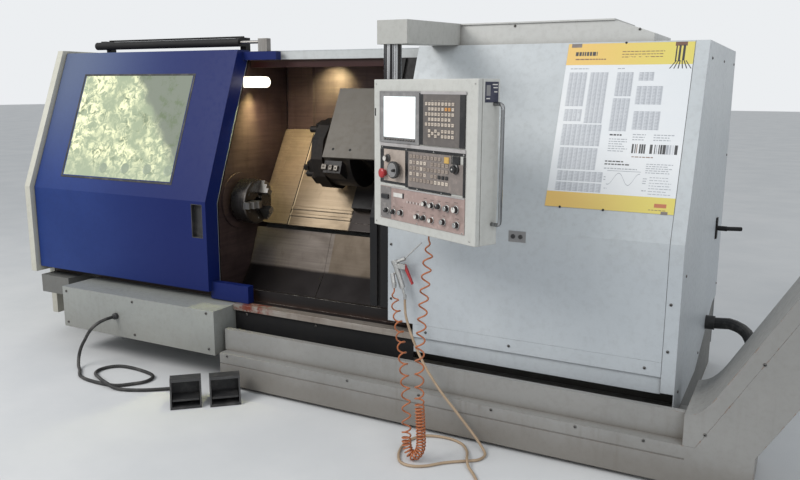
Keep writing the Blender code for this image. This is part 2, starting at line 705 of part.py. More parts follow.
def spindle(root):
    axis = Vector((CHUCK_FACE_X, SPINDLE_Y, SPINDLE_Z))
    body = empty("spindle_body", axis, root)
    start = HEAD_LEFT - 0.02
    chuck_back = CHUCK_FACE_X - CHUCK_LENGTH
    profile = [(start, BAR_BORE), (start, 0.085), (start + 0.018, 0.085), (start + 0.018, BEARING_BORE),
               (WALL_X + 0.002, BEARING_BORE), (WALL_X + 0.002, 0.092), (chuck_back - 0.01, 0.092),
               (chuck_back - 0.01, CHUCK_RADIUS - 0.02), (chuck_back, CHUCK_RADIUS - 0.004),
               (chuck_back + 0.004, CHUCK_RADIUS), (CHUCK_FACE_X - 0.005, CHUCK_RADIUS),
               (CHUCK_FACE_X, CHUCK_RADIUS - 0.005), (CHUCK_FACE_X, BAR_BORE)]
    chuck = turned("spindle_chuck", profile, ALONG_X, (0, SPINDLE_Y, SPINDLE_Z), "steel", None, 48)
    slots = []
    for index in range(JAW_COUNT):
        slot = box("slot", (CHUCK_FACE_X - JAW_SLOT_DEPTH, SPINDLE_Y - JAW_WIDTH / 2 - GAP, SPINDLE_Z + 0.02),
                   (CHUCK_FACE_X + 0.05, SPINDLE_Y + JAW_WIDTH / 2 + GAP, SPINDLE_Z + 0.2), "steel")
        slots.append(swing(slot, axis, index))
    cut(chuck, *slots)
    hold(chuck, body)
    for index in range(JAW_COUNT):
        jaw(body, axis, index)


def swing(piece, axis, index):
    """Turns a piece about the spindle to the place of one jaw."""
    angle = math.radians(-JAW_PHASE - index * 360.0 / JAW_COUNT)
    piece.data.transform(Matrix.Translation(axis) @ Matrix.Rotation(angle, 4,
                                                                    "X") @ Matrix.Translation(-axis))
    return piece


def jaw(body, axis, index):
    """Stepped soft jaw whose tongue sits in the chuck's radial slot."""
    face = CHUCK_FACE_X
    outline = [(face - JAW_SLOT_DEPTH + GAP, 0.048), (face + 0.062, 0.048), (face + 0.062, 0.075),
               (face + 0.046, 0.075), (face + 0.046, 0.098), (face + 0.026, 0.098), (face + 0.026, 0.119),
               (face - JAW_SLOT_DEPTH + GAP, 0.119)]
    placed = [(x, SPINDLE_Z + radial) for x, radial in outline]
    piece = prism(f"jaw_{index + 1}", placed, "Y", SPINDLE_Y - JAW_WIDTH / 2, SPINDLE_Y + JAW_WIDTH / 2,
                  "steel")
    swing(piece, axis, index)
    hold(piece, empty(f"jaw_{index + 1}_slide", axis, body))


# Slanted bed, covers and carriage

ALONG = Vector((math.cos(math.radians(SLOPE_ANGLE)), math.sin(math.radians(SLOPE_ANGLE))))
ACROSS = Vector((-ALONG.y, ALONG.x))


TURRET_Y = SPINDLE_Y + TURRET_DISTANCE * ALONG.x
TURRET_Z = SPINDLE_Z + TURRET_DISTANCE * ALONG.y


def slope(t, h):
    """(y, z) of a point on the slanted bed."""
    point = Vector((SLOPE_Y, SLOPE_Z)) + ALONG * t + ACROSS * h
    return point.x, point.y


def bed(root):
    left = WALL_X + SHEET + GAP
    surface = -BED_DROP
    rails = []
    for t in (0.07, SLOPE_LENGTH - 0.07 - GUIDE_WIDTH):
        rails += [slope(t, surface), slope(t, surface + GUIDE_HEIGHT),
                  slope(t + GUIDE_WIDTH, surface + GUIDE_HEIGHT), slope(t + GUIDE_WIDTH, surface)]
    foot = BASE_TOP + GAP
    outline = [(BED_FOOT, foot), slope(0.0, surface)] + rails
    outline += [slope(SLOPE_LENGTH, surface), BED_CREST, (BED_BACK, BED_BACK_HEIGHT), (BED_BACK, foot)]
    prism("slant_bed", outline, "X", left, BED_RIGHT, "casting", root)
    lower = [(LOWER_PANEL_FOOT, foot + 0.006), LOWER_PANEL_FOLD, slope(-0.036, -0.012)]
    panel = prism("lower_slope_panel", thick_line(lower, -SHEET), "X", left, BED_RIGHT, "stainless")
    fold_y, fold_z = LOWER_PANEL_FOLD
    seam_line = [(LOWER_PANEL_FOOT + 0.015, BASE_TOP + 0.005), (fold_y + 0.0014, fold_z - 0.0005),
                 (SLOPE_Y + 0.0046, SLOPE_Z - 0.0097)]
    seam = prism("seam", thick_line(seam_line, 0.05), "X", SEAM_X, SEAM_X + 0.004, "stainless")
    cut(panel, seam)
    hold(panel, root)
    step_x = FIXED_LEAF_RIGHT - 0.15
    deep = REAR_WALL_Y + REAR_WALL_STEP
    wall_line = [(left, REAR_WALL_Y), (step_x, REAR_WALL_Y), (step_x + 0.01, deep), (BED_RIGHT, deep)]
    prism("inner_rear_wall", thick_line(wall_line, SHEET), "Z", REAR_WALL_BOTTOM, COVER_TOP - SHEET - GAP,
          "stainless", root)


def leaf_outline(level):
    """A way-cover leaf: a sheet on the slope whose lower edge hangs down; higher levels lie above."""
    h = level * LEAF_STEP
    reach = 0.006 + level * LEAF_STEP
    line = [slope(-reach, -0.012), slope(-reach, h), slope(SLOPE_LENGTH, h)]
    return thick_line(line, -LEAF)


def way_covers(root):
    """Telescopic leaves either side of the carriage; the outer leaves move with the carriage."""
    left = WALL_X + SHEET + GAP
    prism("fixed_way_cover", leaf_outline(0), "X", left, FIXED_LEAF_RIGHT, "stainless", root)
    cover = prism("right_fixed_way_cover", leaf_outline(0), "X", BED_RIGHT - RIGHT_FIXED_LENGTH, BED_RIGHT,
                  "stainless")
    foot = [slope(0.26, GAP - BED_DROP), slope(0.38, GAP - BED_DROP), slope(0.38, 0.001), slope(0.26, 0.001)]
    join(cover, prism("bracket", foot, "X", BED_RIGHT - 0.03, BED_RIGHT - 0.005, "stainless"))
    hold(cover, root)
    places = {"way_cover_left_1": (left + 0.035, 1), "way_cover_left_2": (left + 0.065, 2),
              "way_cover_right_1": (CARRIAGE_LEFT + CARRIAGE_LENGTH + LEAF_LENGTH - 0.06, 1)}
    for name, (start, level) in places.items():
        body = empty(name + "_slide", (start, SLOPE_Y, SLOPE_Z), root)
        prism(name, leaf_outline(level), "X", start, start + LEAF_LENGTH, "stainless", body)


def carriage(root):
    """Saddle on the guides with its outer leaves; the cross slide and turret ride on it."""
    left = CARRIAGE_LEFT
    right = left + CARRIAGE_LENGTH
    body = empty("carriage_body", (left, SLOPE_Y, SLOPE_Z), root)
    level = 3 * LEAF_STEP
    outline = [slope(0.03, -BED_DROP + GUIDE_HEIGHT + GAP),
               slope(SLOPE_LENGTH - 0.03, -BED_DROP + GUIDE_HEIGHT + GAP),
               slope(SLOPE_LENGTH - 0.03, level + LEAF), slope(0.03, level + LEAF)]
    saddle = prism("carriage_saddle", outline, "X", left, right, "casting")
    skin = prism("skin", leaf_outline(3), "X", left - LEAF_LENGTH, right + LEAF_LENGTH, "stainless")
    beads = []
    for t in BEADS:
        bead = [slope(t, level - 0.001), slope(t + BEAD_HEIGHT, level + BEAD_HEIGHT),
                slope(t + BEAD_WIDTH - BEAD_HEIGHT, level + BEAD_HEIGHT), slope(t + BEAD_WIDTH, level - 0.001)]
        beads.append(prism("bead", bead, "X", left - LEAF_LENGTH + 0.004, left - 0.004, "stainless"))
    join(saddle, skin, *beads)
    hold(saddle, body)
    cross = empty("cross_slide_body", (left, TURRET_Y, TURRET_Z), body)
    base = level + LEAF + GAP
    top = slope(PLATE_HIGH, PLATE_OFF + 0.014)
    rear = 0.685
    foot_t = (rear - SLOPE_Y - ACROSS.x * base) / ALONG.x
    shell = [slope(PLATE_LOW, PLATE_OFF), top, (rear - 0.06, top[1]), (rear, top[1] - 0.09),
             slope(foot_t, base),
             slope(PLATE_LOW + 0.06, base), slope(PLATE_LOW + 0.06, PLATE_OFF - 0.03),
             slope(PLATE_LOW, PLATE_OFF - 0.014)]
    housing = prism("turret_housing", shell, "X", HOUSING_LEFT, HOUSING_LEFT + HOUSING_LENGTH,
                    "machine_white")
    low = base + 0.0005
    slide_block = [slope(0.10, low), slope(0.44, low), slope(0.38, low + 0.05), slope(0.10, low + 0.05)]
    block = prism("block", slide_block, "X", HOUSING_LEFT + 0.05, HOUSING_LEFT + HOUSING_LENGTH - 0.02,
                  "casting")
    clamp = prism("clamp", [slope(0.17, 0.30), slope(0.17, 0.375), slope(0.235, 0.385), slope(0.235, 0.30)],
                  "X",
                  HOUSING_LEFT + 0.02, HOUSING_LEFT + 0.125, "casting")
    drum = rod("drum", (HOUSING_LEFT - TURRET_NECK, TURRET_Y, TURRET_Z),
               (HOUSING_LEFT + DRUM_LENGTH, TURRET_Y, TURRET_Z),
               DRUM_RADIUS, "casting", None, 48)
    join(housing, block, drum, clamp)
    socket = rod("socket", (HOUSING_LEFT - 0.05, TURRET_Y, TURRET_Z), (HOUSING_LEFT + 0.05, TURRET_Y,
                                                                       TURRET_Z),
                 bore_radius(TURRET_AXLE, 48), "casting", None, 48)
    cut(housing, socket)
    hold(housing, cross)
    turret(cross)


def turret(cross):
    """Twelve-sided disc on an axle, with tool holders round its face."""
    right = HOUSING_LEFT - TURRET_NECK - GAP
    left = right - TURRET_THICKNESS
    body = empty("turret_axis", (left, TURRET_Y, TURRET_Z), cross)
    half = 180.0 / STATIONS
    corner = TURRET_RADIUS / math.cos(math.radians(half))
    outline = arc((TURRET_Y, TURRET_Z), corner, 20 + half, 380 - half, STATIONS - 1)
    disc = prism("turret_disc", outline, "X", left, right, "steel")
    parts = [rod("axle", (left + 0.01, TURRET_Y, TURRET_Z), (HOUSING_LEFT + 0.045, TURRET_Y, TURRET_Z),
                 TURRET_AXLE, "steel", None, 32),
             rod("cap", (left - 0.012, TURRET_Y, TURRET_Z), (left + 0.01, TURRET_Y, TURRET_Z), 0.055,
                 "steel", None, 24)]
    for index, station in enumerate(FILLED_STATIONS):
        parts += tool_holder(left, math.radians(20.0 + station * 360.0 / STATIONS), index)
    join(disc, *parts)
    hold(disc, body)


def tool_holder(left, angle, index):
    """A clamp block on the disc's face with a tool shank: square ones and round ones in turn."""
    middle = Vector((0, TURRET_Y, TURRET_Z))
    out = Vector((0, math.cos(angle), math.sin(angle)))
    spin = Matrix.Translation(middle) @ Matrix.Rotation(angle, 4, "X") @ Matrix.Translation(-middle)
    block = box("holder", (left - 0.032, TURRET_Y + HOLDER_INNER, TURRET_Z - 0.03),
                (left + 0.01, TURRET_Y + TURRET_RADIUS - 0.005, TURRET_Z + 0.03), "steel")
    block.data.transform(spin)
    if index % 2:
        start = middle + out * (HOLDER_INNER + 0.035) + Vector((left - 0.028, 0, 0))
        return [block, rod("boring_bar", start, start - Vector((BAR_LENGTH, 0, 0)), 0.018, "steel", None, 16)]
    shank = box("shank", (left - 0.052, TURRET_Y + 0.125, TURRET_Z - 0.01),
                (left - 0.028, TURRET_Y + TURRET_RADIUS + HOLDER_REACH, TURRET_Z + 0.014), "steel")
    shank.data.transform(spin)
    return [block, shank]


# Chip conveyor

UP_INCLINE = Vector((math.cos(math.radians(INCLINE_ANGLE)), math.sin(math.radians(INCLINE_ANGLE))))
OFF_INCLINE = Vector((UP_INCLINE.y, -UP_INCLINE.x))


def incline(along, below):
    """(x, z) on the incline: distance up from where its lip starts, distance below the lip."""
    point = Vector((INCLINE_START, CONVEYOR_LIP)) + UP_INCLINE * along + OFF_INCLINE * below
    return point.x, point.y


def on_level(below, z):
    """The point of a line that runs parallel to the lip at a given height."""
    start = incline(0.0, below)
    along = (z - start[1]) / UP_INCLINE.y
    return start[0] + UP_INCLINE.x * along, z


def conveyor(root):
    chin_top = on_level(INCLINE_THICKNESS, 0.218)
    outer = [(CONVEYOR_LEFT, CONVEYOR_BOTTOM), (CHIN_X, CONVEYOR_BOTTOM), (CHIN_X, 0.19), chin_top,
             incline(INCLINE_LENGTH, INCLINE_THICKNESS), incline(INCLINE_LENGTH, 0.0), incline(0.0, 0.0),
             (CONVEYOR_LEFT, CONVEYOR_LIP)]
    body = prism("conveyor_body", outer, "Y", CONVEYOR_FRONT, CONVEYOR_BACK, "machine_white")
    wall = CONVEYOR_WALL
    floor_z = CONVEYOR_BOTTOM + wall
    under_lip = CONVEYOR_LIP - LIP_HEIGHT
    band = [(CONVEYOR_LEFT + wall, floor_z), on_level(INCLINE_THICKNESS - wall, floor_z),
            incline(INCLINE_LENGTH + 0.05, INCLINE_THICKNESS - wall), incline(INCLINE_LENGTH + 0.05, -0.05),
            incline(0.03, -0.05), on_level(wall + 0.03, under_lip), (CONVEYOR_LEFT + wall, under_lip)]
    hollow = prism("hollow", band, "Y", CONVEYOR_FRONT + wall, CONVEYOR_BACK - wall, "machine_white")
    slot = box("slot", (CONVEYOR_LEFT + 0.05, CONVEYOR_FRONT + LEDGE_DEPTH + 0.006, under_lip - 0.03),
               (HOOD_LEFT - 0.03, CONVEYOR_BACK - 0.05, CONVEYOR_LIP + 0.05), "machine_white")
    groove = box("groove", (CONVEYOR_LEFT - 0.1, CONVEYOR_FRONT - 0.05, under_lip - 0.006),
                 (HOOD_LEFT + 0.01, CONVEYOR_FRONT + 0.003, under_lip), "machine_white")
    cut(body, hollow, slot, groove)
    pads = []
    for x in (CONVEYOR_LEFT + 0.16, CHIN_X - 0.20):
        low = (x, CONVEYOR_FRONT + 0.08, 0.0)
        high = (x + 0.08, CONVEYOR_BACK - 0.08, CONVEYOR_BOTTOM + 0.003)
        pads.append(box("pad", low, high, "black"))
    join(body, *pads)
    hold(body, root)
    guard_y = CONVEYOR_FRONT + LEDGE_DEPTH
    line = [(guard_y, CONVEYOR_LIP + GAP), (guard_y, GUARD_TOP), (guard_y + 0.03, GUARD_TOP)]
    prism("conveyor_guard", thick_line(line, -SHEET), "X", CONVEYOR_LEFT - 0.01, HOOD_LEFT - 0.004,
          "machine_white", root)
    conveyor_hood(root)
    conveyor_head(root)


def conveyor_hood(root):
    """Lid over the incline: upright front edge, a swept top and then parallel to the lip."""
    left = HOOD_LEFT
    seat = CONVEYOR_LIP + GAP
    top = seat + HOOD_HEIGHT
    offset = -HOOD_OFFSET
    meet = on_level(offset, top + 0.09)
    corner = on_level(offset, top)
    sweep = []
    for step in range(7):
        s = step / 6
        start = Vector((left, top))
        mid = Vector(corner)
        end = Vector(meet)
        sweep.append(tuple(start * (1 - s) ** 2 + mid * 2 * s * (1 - s) + end * s * s))
    far = INCLINE_LENGTH - GAP
    seat_line = [incline(far, -GAP), on_level(-GAP, seat + 0.0002)]
    outer = [(left, seat)] + sweep + [incline(far, offset)] + seat_line
    hood = prism("conveyor_hood", outer, "Y", CONVEYOR_FRONT, CONVEYOR_BACK, "machine_white")
    inner_top = [(x + SHEET, z - SHEET) for x, z in sweep]
    inner = [(left + SHEET, seat - 0.05)] + inner_top + [incline(far + 0.05, offset + SHEET),
                                                         incline(far + 0.05, 0.05),
                                                         on_level(0.05, seat - 0.05)]
    hollow = prism("hollow", inner, "Y", CONVEYOR_FRONT + SHEET, CONVEYOR_BACK - SHEET, "machine_white")
    cut(hood, hollow)
    hold(hood, root)


def conveyor_head(root):
    """Discharge head over the end of the incline, open below, with its gear motor at the back."""
    start = Vector(incline(INCLINE_LENGTH + GAP, -HOOD_OFFSET))
    end = Vector(incline(INCLINE_LENGTH + GAP, INCLINE_THICKNESS))
    top = start.y + 0.06
    right = end.x + HEAD_LENGTH - 0.09
    outer = [tuple(start), tuple(end), (end.x + 0.04, HEAD_BOTTOM), (right, HEAD_BOTTOM), (right, top - 0.08),
             (right - 0.08, top), (start.x + 0.07, top)]
    head = prism("conveyor_head", outer, "Y", CONVEYOR_FRONT - 0.012, CONVEYOR_BACK + 0.012, "machine_white")
    wall = CONVEYOR_WALL
    under = Vector(incline(INCLINE_LENGTH - 0.05, wall))
    lower = Vector(incline(INCLINE_LENGTH - 0.05, INCLINE_THICKNESS - wall))
    hollow = [tuple(under), tuple(lower), (end.x + 0.05, HEAD_BOTTOM + 0.06),
              (end.x + 0.05, HEAD_BOTTOM - 0.05),
              (right - wall, HEAD_BOTTOM - 0.05), (right - wall, top - 0.085), (right - 0.085, top - wall),
              (start.x + 0.08, top - wall)]
    inside = prism("inside", hollow, "Y", CONVEYOR_FRONT + wall, CONVEYOR_BACK - wall, "machine_white")
    cut(head, inside)
    axis = (right - 0.13, top - 0.11)
    back = CONVEYOR_BACK + 0.012
    gearbox = box("gearbox", (axis[0] - 0.07, back - 0.004, axis[1] - 0.07),
                  (axis[0] + 0.07, back + 0.10, axis[1] + 0.07), "casting")
    motor = rod("motor", (axis[0], back + 0.09, axis[1]), (axis[0], back + 0.09 + MOTOR_LENGTH, axis[1]),
                MOTOR_RADIUS, "casting", None, 24)
    join(head, gearbox, motor)
    hold(head, root)


# Roof duct, pendant arm and pendant

def roof_duct(root):
    base = COVER_TOP + GAP
    back = DUCT_FRONT + DUCT_DEPTH
    slopeless = DUCT_RIGHT - DUCT_TAPER
    outline = [(DUCT_LEFT + 0.02, base), (DUCT_LEFT + 0.02, DUCT_TOP), (slopeless, DUCT_TOP),
               (DUCT_RIGHT, DUCT_TOP - DUCT_DROP), (DUCT_RIGHT, base)]
    duct = prism("roof_duct", outline, "Y", DUCT_FRONT, back, "machine_white")
    lid = box("lid", (DUCT_LEFT, DUCT_FRONT - 0.008, DUCT_TOP - 0.004), (slopeless + 0.01, back + 0.008,
                                                                         DUCT_TOP + 0.003), "machine_white")
    join(duct, lid)
    hold(duct, root)
    root_end = DUCT_FRONT - 0.008 - GAP
    side = [(ARM_REACH, ARM_LOW), (ARM_REACH, DUCT_TOP + 0.003 - ARM_DROOP), (root_end, DUCT_TOP + 0.003),
            (root_end, base), (TOP_SETBACK - 0.012, base)]
    arm = prism("pendant_arm", side, "X", DUCT_LEFT, DUCT_LEFT + ARM_WIDTH, "machine_white")
    for vertex in arm.data.vertices:
        vertex.co.x += ARM_SKEW * (root_end - vertex.co.y) / (root_end - ARM_REACH)
    post = rod("post", (POST_X, POST_Y, ARM_LOW + 0.02), (POST_X, POST_Y, PENDANT_TOP + GAP), POST_RADIUS,
               "chrome", None, 32)
    join(arm, post)
    hold(arm, root)


def pendant(root):
    """Control box that swivels about the post above its left rear corner."""
    axis = (POST_X, POST_Y, PENDANT_TOP)
    body = empty("pendant_body", axis, root)
    local = Matrix.Translation((POST_X, POST_Y, 0.0)) @ Matrix.Rotation(math.radians(-PENDANT_TURN), 4, "Z")
    left = PENDANT_LEFT
    front = PENDANT_FRONT
    right = left + PENDANT_WIDTH
    back = front + PENDANT_DEPTH
    low = PENDANT_TOP - PENDANT_HEIGHT
    case = box("pendant_case", (left, front, low), (right, back, PENDANT_TOP), "machine_white")

    def face_box(name, u0, v0, u1, v1, depth, rise, colour="black"):
        """A block on the face; u from the left edge, v down from the top."""
        return box(name, (left + u0, front - rise, PENDANT_TOP - v1),
                   (left + u1, front + depth, PENDANT_TOP - v0), colour)

    cut(case, face_box("screen_seat", 0.046, 0.05, 0.31, 0.253, 0.025, 0.05))
    parts = [face_box("upper_keypad", 0.332, 0.05, 0.585, 0.25, 0.005, KEY_RISE),
             face_box("middle_keypad", 0.232, 0.281, 0.585, 0.429, 0.005, KEY_RISE),
             face_box("left_panel", 0.046, 0.292, 0.22, 0.412, 0.005, KEY_RISE),
             face_box("lower_panel", 0.046, 0.441, 0.585, 0.579, 0.005, KEY_RISE)]
    parts += keys(face_box, 0.342, 0.062, 9, 6, 0.0265, 0.0305, 0.019)
    parts += keys(face_box, 0.25, 0.292, 8, 4, 0.0275, 0.034, 0.019)
    for u, v in ((0.10, 0.555), (0.15, 0.555), (0.21, 0.553), (0.288, 0.551), (0.34, 0.549), (0.345, 0.499),
                 (0.389, 0.494),
                 (0.438, 0.488), (0.485, 0.482), (0.532, 0.484), (0.39, 0.55), (0.463, 0.548)):
        centre = (left + u, front - KEY_RISE + 0.002, PENDANT_TOP - v)
        parts.append(rod("button", centre, (centre[0], centre[1] - 0.014, centre[2]), 0.0095, "black", None,
                         12))
    join(case, *parts)
    stop = (left + 0.084, front - KEY_RISE, PENDANT_TOP - 0.385)
    well = rod("well", (stop[0], stop[1] - 0.02, stop[2]), (stop[0], stop[1] + 0.016, stop[2]),
               bore_radius(STOP_STEM, 24), "black", None, 24)
    cut(case, well)
    swivel_piece(case, local, body)
    screen = face_box("pendant_screen", 0.046 + GAP, 0.05 + GAP, 0.31 - GAP, 0.253 - GAP, 0.025 - GAP, 0.004)
    cut(screen, face_box("view", 0.072, 0.068, 0.286, 0.234, -0.001, 0.05))
    swivel_piece(screen, local, body)
    handle_x = right + 0.045
    points = [(right + GAP, 0.012, PENDANT_TOP - 0.09), (handle_x, 0.012, PENDANT_TOP - 0.09),
              (handle_x, 0.012, PENDANT_TOP - 0.535),
              (right + GAP, 0.012, PENDANT_TOP - 0.535)]
    handle = bow("pendant_handle", points, 0.0075, 0.02, "chrome")
    swivel_piece(handle, local, body)
    face = front - KEY_RISE - GAP
    mushroom = [(-0.006, 0.0), (-0.006, STOP_STEM), (0.012, STOP_STEM), (0.013, 0.02), (0.021, 0.02),
                (0.025, 0.014), (0.025, 0.0)]
    place_control("e_stop_button", mushroom, stop[0], stop[1], stop[2], "red", local, body)
    wheel = [(0.0, 0.0), (0.0, 0.012), (0.012, 0.012), (0.012, 0.034), (0.026, 0.036), (0.03, 0.033),
             (0.03, 0.0)]
    place_control("handwheel", wheel, left + 0.172, face, PENDANT_TOP - 0.365, "black", local, body)
    dial = [(0.0, 0.0), (0.0, 0.017), (0.004, 0.017), (0.006, 0.0125), (0.02, 0.0115), (0.02, 0.0)]
    place_control("override_knob", dial, left + 0.106, face, PENDANT_TOP - 0.322, "black", local, body)


def keys(face_box, u0, v0, columns, rows, step_u, step_v, size):
    """A grid of keys standing on a keypad."""
    made = []
    for row in range(rows):
        for column in range(columns):
            u = u0 + column * step_u
            v = v0 + row * step_v
            made.append(face_box("key", u, v, u + size, v + size, 0.0, KEY_RISE + 0.003))
    return made


def place_control(name, profile, x, y, z, colour, local, body):
    """A turned control on the pendant's face, with its own axis."""
    piece = turned(name, profile, TO_FRONT, (x, y, z), colour, None, 20)
    axis = empty(name + "_axis", local @ Vector((x, y, z)), body)
    swivel_piece(piece, local, axis)


def swivel_piece(piece, local, body):
    piece.data.transform(local)
    hold(piece, body)


def bow(name, points, radius, bend, colour, sides=10):
    """A round bar bent through the points with rounded corners."""
    path = [Vector(points[0])]
    for before, corner, after in zip(points, points[1:], points[2:]):
        corner = Vector(corner)
        enter = corner + (Vector(before) - corner).normalized() * bend
        leave = corner + (Vector(after) - corner).normalized() * bend
        for step in range(6):
            s = step / 5
            path.append(enter * (1 - s) ** 2 + corner * 2 * s * (1 - s) + leave * s * s)
    path.append(Vector(points[-1]))
    return tube(name, path, radius, colour, sides)


def tube(name, path, radius, colour, sides=10):
    """A solid round bar along a path, with flat ends square to it."""
    bm = bmesh.new()
    rings = []
    side = None
    for index, point in enumerate(path):
        ahead = path[min(index + 1, len(path) - 1)]
        behind = path[max(index - 1, 0)]
        way = (ahead - behind).normalized()
        if side is None:
            side = way.orthogonal().normalized()
        side = (side - way * side.dot(way)).normalized()
        up = way.cross(side)
        ring = []
        for step in range(sides):
            angle = math.tau * step / sides
            ring.append(bm.verts.new(point + (side * math.cos(angle) + up * math.sin(angle)) * radius))
        rings.append(ring)
    for low, high in zip(rings, rings[1:]):
        for step in range(sides):
            other = (step + 1) % sides
            bm.faces.new((low[step], low[other], high[other], high[step]))
    bm.faces.new(rings[0])
    bm.faces.new(rings[-1])
    return put(name, bm, colour, None, smooth=True)


# Hoses, cords and what is on them

def smooth_path(points, count):
    """Evenly spaced points on a smooth curve through the route's own points."""
    route = [Vector(point) for point in points]
    dense = []
    for index in range(len(route) - 1):
        a = route[max(index - 1, 0)]
        b = route[index]
        c = route[index + 1]
        d = route[min(index + 2, len(route) - 1)]
        for step in range(12):
            s = step / 12
            dense.append(0.5 * ((2 * b) + (c - a) * s + (2 * a - 5 * b + 4 * c - d) * s * s
                                + (3 * b - a - 3 * c + d) * s ** 3))
    dense.append(route[-1])
    lengths = [0.0]
    for start, end in zip(dense, dense[1:]):
        lengths.append(lengths[-1] + (end - start).length)
    path = []
    place = 0
    for index in range(count):
        want = lengths[-1] * index / (count - 1)
        while place < len(dense) - 2 and lengths[place + 1] < want:
            place += 1
        share = (want - lengths[place]) / (lengths[place + 1] - lengths[place])
        path.append(dense[place].lerp(dense[place + 1], share))
    return path


def cord(name, points, radius, count, colour, parent, resolution=2):
    """A plain cord: a poly curve with a round bevel and filled ends."""
    curve = bpy.data.curves.new(name, "CURVE")
    curve.dimensions = "3D"
    curve.bevel_depth = radius
    curve.bevel_resolution = resolution
    curve.use_fill_caps = True
    spline = curve.splines.new("POLY")
    path = smooth_path(points, count)
    spline.points.add(len(path) - 1)
    for target, point in zip(spline.points, path):
        target.co = (point.x, point.y, max(point.z, radius * 1.01), 1.0)
    curve.materials.append(material(colour))
    made = bpy.data.objects.new(name, curve)
    bpy.context.scene.collection.objects.link(made)
    hold(made, parent)


CABLE_RADIUS = 0.009
CABLE_LIE = 0.0092
PEDAL_CABLE = [(GLAND_X, SIDE_BOX_FRONT - GLAND_LENGTH - 2 * GAP, GLAND_Z), (GLAND_X, -0.206, GLAND_Z),
               (GLAND_X, -0.221, GLAND_Z), (GLAND_X, -0.236, GLAND_Z), (0.8524, -0.2772, 0.27),
               (0.8319, -0.306, 0.2456), (0.8047, -0.3136, 0.2134), (0.7696, -0.3081, 0.1716),
               (0.7345, -0.3026, 0.1299), (0.7153, -0.3047, 0.0916), (0.7164, -0.3186, 0.0511),
               (0.7374, -0.3401, 0.0205), (0.7721, -0.3627, CABLE_LIE), (0.86, -0.43, CABLE_LIE),
               (0.98, -0.452, CABLE_LIE), (1.12, -0.44, CABLE_LIE), (1.192, -0.376, CABLE_LIE),
               (1.226, -0.318, CABLE_LIE), (1.212, -0.256, CABLE_LIE), (1.15, -0.222, CABLE_LIE),
               (1.02, -0.205, CABLE_LIE), (0.929, -0.215, CABLE_LIE), (0.882, -0.255, CABLE_LIE),
               (0.869, -0.308, CABLE_LIE), (0.888, -0.354, 0.0105), (0.935, -0.393, 0.0185),
               (0.99, -0.427, 0.0284), (1.045, -0.4525, 0.0298), (1.1, -0.468, 0.0262),
               (1.155, -0.471, 0.0145), (1.22, -0.456, CABLE_LIE), (1.31, -0.412, CABLE_LIE),
               (1.4109, -0.3365, CABLE_LIE), (1.4379, -0.3184, CABLE_LIE), (1.4698, -0.3125, CABLE_LIE),
               (1.5014, -0.3198, CABLE_LIE), (1.5276, -0.339, CABLE_LIE), (1.5409, -0.3539, CABLE_LIE),
               (1.5543, -0.3688, CABLE_LIE)]

COIL_RADIUS = 0.022
CURLY_HOSE = [(2.904, -0.362, 0.969), (2.904, -0.362, 0.935), (2.904, -0.362, 0.90), (2.916, -0.425, 0.72),
              (2.914, -0.455, 0.50),
              (2.911, -0.450, 0.30), (2.917, -0.447, 0.15), (2.916, -0.446, 0.065), (2.884, -0.445, 0.0235),
              (2.852, -0.443, 0.060),
              (2.844, -0.435, 0.15), (2.815, -0.385, 0.26), (2.745, -0.28, 0.38), (2.665, -0.165, 0.48),
              (2.612, -0.095, 0.55),
              (2.592, -0.073, 0.590), (2.590, -0.070, 0.605), (2.590, -0.070, 0.6355)]

WASH_RADIUS = 0.006
WASH_HOSE = [(2.636, -0.049, 0.5812), (2.636, -0.049, 0.555), (2.655, -0.072, 0.50), (2.72, -0.13, 0.42),
             (2.80, -0.178, 0.33),
             (2.89, -0.203, 0.235), (2.98, -0.209, 0.145), (3.05, -0.208, 0.070), (3.10, -0.218, 0.020),
             (3.135, -0.262, 0.0066),
             (3.125, -0.32, 0.0066), (3.07, -0.362, 0.0066), (3.01, -0.41, 0.0066), (2.955, -0.470, 0.0066),
             (2.90, -0.500, 0.0066),
             (2.845, -0.490, 0.0066), (2.805, -0.43, 0.0066), (2.782, -0.35, 0.0066),
             (2.785, -0.28, 0.0066), (2.82, -0.218, 0.0066),
             (2.88, -0.193, 0.0066), (2.95, -0.190, 0.0066), (3.01, -0.215, 0.0066), (3.05, -0.262, 0.0066),
             (3.073, -0.312, 0.0140),
             (3.092, -0.360, 0.0205), (3.118, -0.405, 0.0120), (3.160, -0.450, 0.0066),
             (3.195, -0.505, 0.0066), (3.205, -0.575, 0.0066)]


LEVER_WIDTH = 0.012


